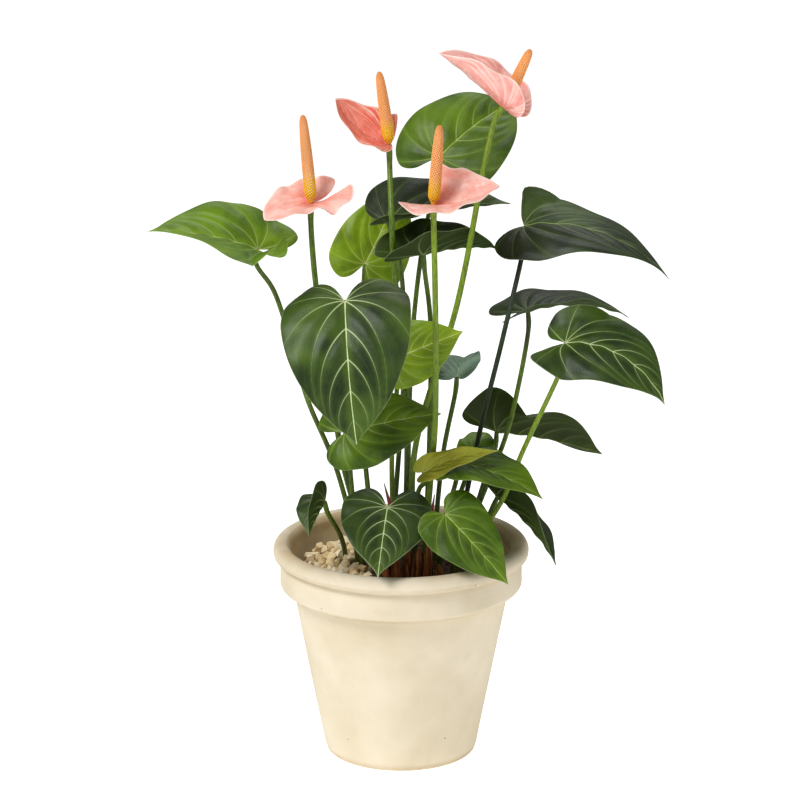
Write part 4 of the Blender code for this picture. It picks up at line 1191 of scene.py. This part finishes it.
# %% Leaves in place
for number, leaf in enumerate(LEAVES):
    blade = shell(leaf.name + "_blade", leaf.blade, LEAF_OUTLINE, LEAF_THICKNESS, LEAF_VEINS, 0.07,
                  number)
    blade.data.materials.append(LEAF_SKINS[SPECIAL_SKINS.get(leaf.name, leaf.colour)])
    stands_for(blade, "leaf", leaf.name)
print("leaf blades:", len(LEAVES), "faces of one:", len(blade.data.polygons))

# %% [markdown]
# ### The skin of a spathe
# The coloured leaf round a spadix is thicker, crinkled and shiny, as if lacquered. Its salmon is blotched
# with a paler pink, turns coral in the throat and at the ends of its lobes, and is nearly cream at the
# margin. Two blooms are older: pale streaks run along their veins over a deeper coral. A noise laid out by
# vein order and length draws such streaks. The crinkles are in the shell's relief, so that they also break
# up its outline, and a clear coat gives the small bright lights on them.

# %% Spathe material


def spathe_material(name, base, pale, deep, streaks):
    """Lacquered spathe skin: its pink, paler blotches, the coral of throat and lobes, its streaks."""
    made, tree, shader = new_material(name)
    marks = blade_marks(tree)
    place = add(tree, "TexCoord").outputs["Object"]
    blotches = add(tree, "TexNoise", {"Vector": place, "Scale": 75, "Detail": 4, "Roughness": 0.6})
    blotch = add(tree, "MapRange", {"Value": blotches, "From Min": 0.35, "From Max": 0.62})
    throat = add(tree, "MapRange",
                 {"Value": marks["joint"], "From Min": 24, "From Max": 4, "To Max": 0.75},
                 interpolation_type="SMOOTHSTEP")
    lobe_end = add(tree, "MapRange",
                   {"Value": marks["x"], "From Min": -0.12, "From Max": -0.32, "To Max": 0.4})
    laid_out = add(tree, "CombineXYZ",
                   (add(tree, "Math", (marks["order"], 4.2), operation="MULTIPLY"),
                    add(tree, "Math", (marks["far"], 1.2), operation="MULTIPLY"), marks["chance"]))
    grain = add(tree, "TexNoise", {"Vector": laid_out, "Scale": 1, "Detail": 3, "Roughness": 0.7})
    streak = add(tree, "MapRange", {"Value": grain, "From Min": 0.5, "From Max": 0.6, "To Max": streaks})
    rim = add(tree, "MapRange", {"Value": marks["edge"], "From Min": 2.2, "From Max": 0.3, "To Max": 0.7},
              interpolation_type="SMOOTHSTEP")
    colour = washed(tree, base, (blotch, pale), (throat, deep), (lobe_end, deep), (streak, "FCDCCD"),
                    (marks["vein"], deep, 0.2), (rim, "FDE6D8"))
    crinkle = add(tree, "TexNoise", {"Vector": place, "Scale": 330, "Detail": 3})
    bump = add(tree, "Bump", {"Height": crinkle, "Strength": 0.45, "Distance": 0.0008})
    feed(tree, shader,
         {"Base Color": colour, "Normal": bump, "Roughness": 0.42, "Coat Weight": 0.25,
          "Coat Roughness": 0.24})
    return made


SALMON = spathe_material("lacquered salmon spathe", "F7A494", "FDCCBE", "EE7A66", 0.2)
SPATHE_SKINS = {
    "bloom_centre_left": spathe_material("old coral spathe", "E8644A", "EE8066", "D8523A", 0.75),
    "bloom_top_right": spathe_material("streaked pink spathe", "F2948A", "F9BAB0", "E4685C", 0.6),
}
print("spathe skins:", 1 + len(SPATHE_SKINS))

# %% Spathes in place
for number, bloom in enumerate(BLOOMS):
    spathe = shell(bloom.name + "_colour_leaf", bloom.spathe, SPATHE_OUTLINE, SPATHE_THICKNESS,
                   SPATHE_VEINS, 0.26, 40 + number)
    spathe.data.materials.append(SPATHE_SKINS.get(bloom.name, SALMON))
    stands_for(spathe, "spathe", bloom.name + "_spathe")
print("spathes:", len(BLOOMS))

# %% [markdown]
# ## Spadices
# A spadix is a fleshy spike closely set with tiny flowers. Each flower starts a fixed turn further round
# than the last, the golden angle, and that makes the crossing spirals that everyone knows from pine cones.
# The tree places a point for each flower by this rule, on a radius that a drawn curve gives, and drops a
# small flattened ball on it that looks outward. Two attributes serve the shader: how far up the flower
# sits, for the turn from yellow to orange, and how near a place is to the flower's top, for the dark dot of
# its stigma and for painted shade, a brown-orange on the low part of each flower, down between the flowers.

# %% Flower material
pollen, tree, shader = new_material("ripening spadix")
share = add(tree, "Attribute", attribute_name="share").outputs["Fac"]
crest = add(tree, "Attribute", attribute_name="crest").outputs["Fac"]
ripening = add(tree, "MapRange", {"Value": share, "From Min": 0.16, "From Max": 0.42},
               interpolation_type="SMOOTHSTEP")
tipward = add(tree, "MapRange", {"Value": share, "From Min": 0.75, "From Max": 1, "To Max": 0.5})
# Painted shade: the low part of each flower, down between the flowers, is painted brown-orange
gap = add(tree, "MapRange", {"Value": crest, "From Min": 0.55, "From Max": 0.1, "To Max": 0.5})
dot = add(tree, "MapRange", {"Value": crest, "From Min": 0.93, "From Max": 0.98, "To Max": 0.45})
colour = washed(tree, "F5C20E", (ripening, "F6AC66"), (tipward, "EE9C58"), (gap, "C4702A"),
                (dot, "8A5020"))
feed(tree, shader, {"Base Color": colour, "Roughness": 0.5, "Specular IOR Level": 0.35})
print("the spadix ripens from its tip")

# %% The spiral of flowers
FLOWER_COUNT = 620
FLOWER_SIZE = 1.05
GOLDEN_ANGLE = 2.39996
SPADIX_SHAPE = ((0, 0.3), (0.05, 0.6), (0.12, 0.98), (0.3, 1.0), (0.88, 0.7), (0.96, 0.5), (1, 0.12))

spiral, inputs = new_tree("spadix spiral", {
    "Flowers": "NodeSocketInt", "Length": "NodeSocketFloat", "Radius": "NodeSocketFloat",
    "Flower": "NodeSocketFloat", "Finish": "NodeSocketMaterial"})
number = add(spiral, "GeometryNodeInputIndex")
counted = add(spiral, "Math", (number, 0.5), operation="ADD")
height = add(spiral, "Math", (counted, inputs["Flowers"]), operation="DIVIDE")
shape = add(spiral, "FloatCurve", {"Value": height})
line = shape.mapping.curves[0]
for x, y in SPADIX_SHAPE[1:-1]:
    line.points.new(x, y)
line.points[0].location = SPADIX_SHAPE[0]
line.points[len(line.points) - 1].location = SPADIX_SHAPE[-1]
shape.mapping.update()
radius = add(spiral, "Math", (shape, inputs["Radius"]), operation="MULTIPLY")
turn = add(spiral, "Math", (number, GOLDEN_ANGLE), operation="MULTIPLY")
cosine = add(spiral, "Math", (turn,), operation="COSINE")
sine = add(spiral, "Math", (turn,), operation="SINE")
sideways = add(spiral, "Math", (cosine, radius), operation="MULTIPLY")
inwards = add(spiral, "Math", (sine, radius), operation="MULTIPLY")
upward = add(spiral, "Math", (height, inputs["Length"]), operation="MULTIPLY")
spot = add(spiral, "CombineXYZ", (sideways, inwards, upward))
late = add(spiral, "MapRange", {"Value": height, "From Min": 0.9, "From Max": 1, "To Max": 1.6})
outward = add(spiral, "CombineXYZ", (cosine, sine, late))
points = add(spiral, "GeometryNodePoints", {"Count": inputs["Flowers"], "Position": spot})
marked = add(spiral, "GeometryNodeStoreNamedAttribute",
             {"Geometry": points, "Name": "share", "Value": height}, data_type="FLOAT", domain="POINT")
ball = add(spiral, "GeometryNodeMeshUVSphere", {"Segments": 7, "Rings": 5, "Radius": 1})
local = add(spiral, "GeometryNodeInputPosition")
local_parts = add(spiral, "SeparateXYZ", (local,))
crested = add(spiral, "GeometryNodeStoreNamedAttribute",
              {"Geometry": ball.outputs["Mesh"], "Name": "crest", "Value": local_parts.outputs["Z"]},
              data_type="FLOAT", domain="POINT")
soft = add(spiral, "GeometryNodeSetShadeSmooth", {"Geometry": crested})
facing = add(spiral, "FunctionNodeAlignRotationToVector", {"Vector": outward}, axis="Z")
slimmer = add(spiral, "MapRange", {"Value": shape, "From Min": 0.1, "From Max": 1, "To Min": 0.55})
measure = add(spiral, "Math", (slimmer, inputs["Flower"]), operation="MULTIPLY")
flattened = add(spiral, "CombineXYZ",
                (measure, measure, add(spiral, "Math", (measure, 0.75), operation="MULTIPLY")))
flowers = add(spiral, "GeometryNodeInstanceOnPoints",
              {"Points": marked, "Instance": soft, "Rotation": facing, "Scale": flattened})
close_tree(spiral, flowers, inputs["Finish"])
print("flowers on a spadix:", FLOWER_COUNT)

# %% Spadices in place
for bloom in BLOOMS:
    joint, upwards = joint_of(bloom.spathe)
    base = joint + 0.9 * upwards
    axis = np.array(bloom.spadix_tip, float) - base
    length = float(np.linalg.norm(axis)) - 0.4
    seed = linked("spadix_seed", bpy.data.meshes.new("spadix_seed"))
    spike = grown(bloom.name + "_spike", seed, spiral, {
        "Flowers": FLOWER_COUNT, "Length": length * MM, "Radius": (bloom.spadix_radius - 0.5) * MM,
        "Flower": FLOWER_SIZE * MM, "Finish": pollen})
    core_path = np.array([[0, 0, length * share] for share in np.linspace(0.01, 0.985, 30)])
    shares, widths = zip(*SPADIX_SHAPE)
    core_radii = (bloom.spadix_radius - 0.6) * np.interp(core_path[:, 2] / length, shares, widths)
    core = laid("core", core_path, core_radii, pollen, 24)
    lean = Vector((0, 0, 1)).rotation_difference(Vector(axis)).to_matrix().to_4x4()
    spike = joined(bloom.name + "_spike", [spike, core], Matrix.Translation(Vector(base) * MM) @ lean)
    stands_for(spike, "spadix", bloom.name + "_spadix")
print("spadix faces:", len(spike.data.polygons))

# %% [markdown]
# ## Old stalk bases and bud sheaths
# At the front of the plant stands a clump of dried stalk bases, orange-brown to black, with papery strips
# between them. Thick bases repeat the solid's own. Thin strips of other heights and leans fill the clump
# round them, from the same stalk tree. Two pink sheaths with green tips hold coming buds.

# %% Crown
CROWN_CENTRE = (10, -58)
CROWN_SIZE = (27, 8)
# Each thick base's place, its lean up to the top, its height and its radius
CROWN_STALKS = (((-12, -57), (-3, -3), 40, 4.2), ((-3, -60), (-1, -5), 34, 4.6), ((6, -56), (1, -2), 48, 4.4),
                ((14, -60), (0, -4), 38, 4.8), ((23, -57), (1, -3), 42, 4.2), ((31, -60), (3, -3), 24, 4.0))
STRIP_COUNT = 26

husk, tree, shader = new_material("dried stalk base")
place = add(tree, "TexCoord").outputs["Object"]
upright = add(tree, "VectorMath", (place, (1, 1, 0.07)), operation="MULTIPLY")
strips = add(tree, "TexNoise", {"Vector": upright, "Scale": 320, "Detail": 4, "Roughness": 0.6})
first = add(tree, "MapRange", {"Value": strips, "From Min": 0.36, "From Max": 0.55})
second = add(tree, "MapRange", {"Value": strips, "From Min": 0.55, "From Max": 0.72})
colour = washed(tree, "331A0C", (first, "96521F"), (second, "D4924A"))
bump = add(tree, "Bump", {"Height": strips, "Strength": 0.7, "Distance": 0.0008})
feed(tree, shader, {"Base Color": colour, "Normal": bump, "Roughness": 0.72})

ground_height = soil_height(math.hypot(*CROWN_CENTRE))
generator = np.random.default_rng(8)
bases = list(CROWN_STALKS)
for _ in range(STRIP_COUNT):
    turn, away = generator.uniform(0, math.tau), math.sqrt(generator.uniform(0, 0.9))
    x = CROWN_CENTRE[0] + CROWN_SIZE[0] * away * math.cos(turn)
    y = CROWN_CENTRE[1] + CROWN_SIZE[1] * away * math.sin(turn)
    lean = generator.uniform(-4, 4, 2)
    bases.append(((x, y), lean, generator.uniform(12, 36), generator.uniform(1.0, 2.2)))
clump = []
for number, ((x, y), (lean_x, lean_y), tall, radius) in enumerate(bases):
    share = np.linspace(0, 1, 12)
    sway = 0.8 * np.sin(5 * share + number)
    path = np.column_stack([x + lean_x * share + sway, y + lean_y * share**2,
                            ground_height - 7 + (tall + 6) * share])
    slimming = np.interp(share, (0, 0.6, 0.9, 1), (1.05, 0.95, 0.7, 0.35))
    radii = radius * slimming * (1 + 0.06 * np.sin(17 * share))
    clump.append(laid("base", path, radii, husk, 14 if number < len(CROWN_STALKS) else 6))
stands_for(joined("dried_bases", clump), "old_stalk_bases", "crown")
print("bases and strips:", len(bases))

# %% Bud sheaths
blush, tree, shader = new_material("pink bud sheath")
along = add(tree, "Attribute", attribute_name="along").outputs["Fac"]
place = add(tree, "TexCoord").outputs["Object"]
fibre = add(tree, "VectorMath", (place, (1, 1, 0.1)), operation="MULTIPLY")
fibres = add(tree, "TexNoise", {"Vector": fibre, "Scale": 1200, "Detail": 2})
thread = add(tree, "MapRange", {"Value": fibres, "From Min": 0.4, "From Max": 0.65})
green_tip = add(tree, "MapRange", {"Value": along, "From Min": 0.088, "From Max": 0.1, "To Max": 0.85})
colour = washed(tree, "B02A44", (thread, "D85C70"), (green_tip, "7FA53A"))
feed(tree, shader, {"Base Color": colour, "Roughness": 0.45})

for name, root, points in SHEATHS:
    path = smooth_path([(*root, HOLE_FLOOR), (*root, SOIL_CROWN_HEIGHT + 6), *points], 5)
    radii = SHEATH_RADIUS * np.interp(np.linspace(0, 1, len(path)), (0, 0.5, 0.8, 1), (1, 1, 0.7, 0.15))
    stands_for(laid(name + "_skin", path, radii, blush), "bud_sheath", name)
print("bud sheaths:", len(SHEATHS))
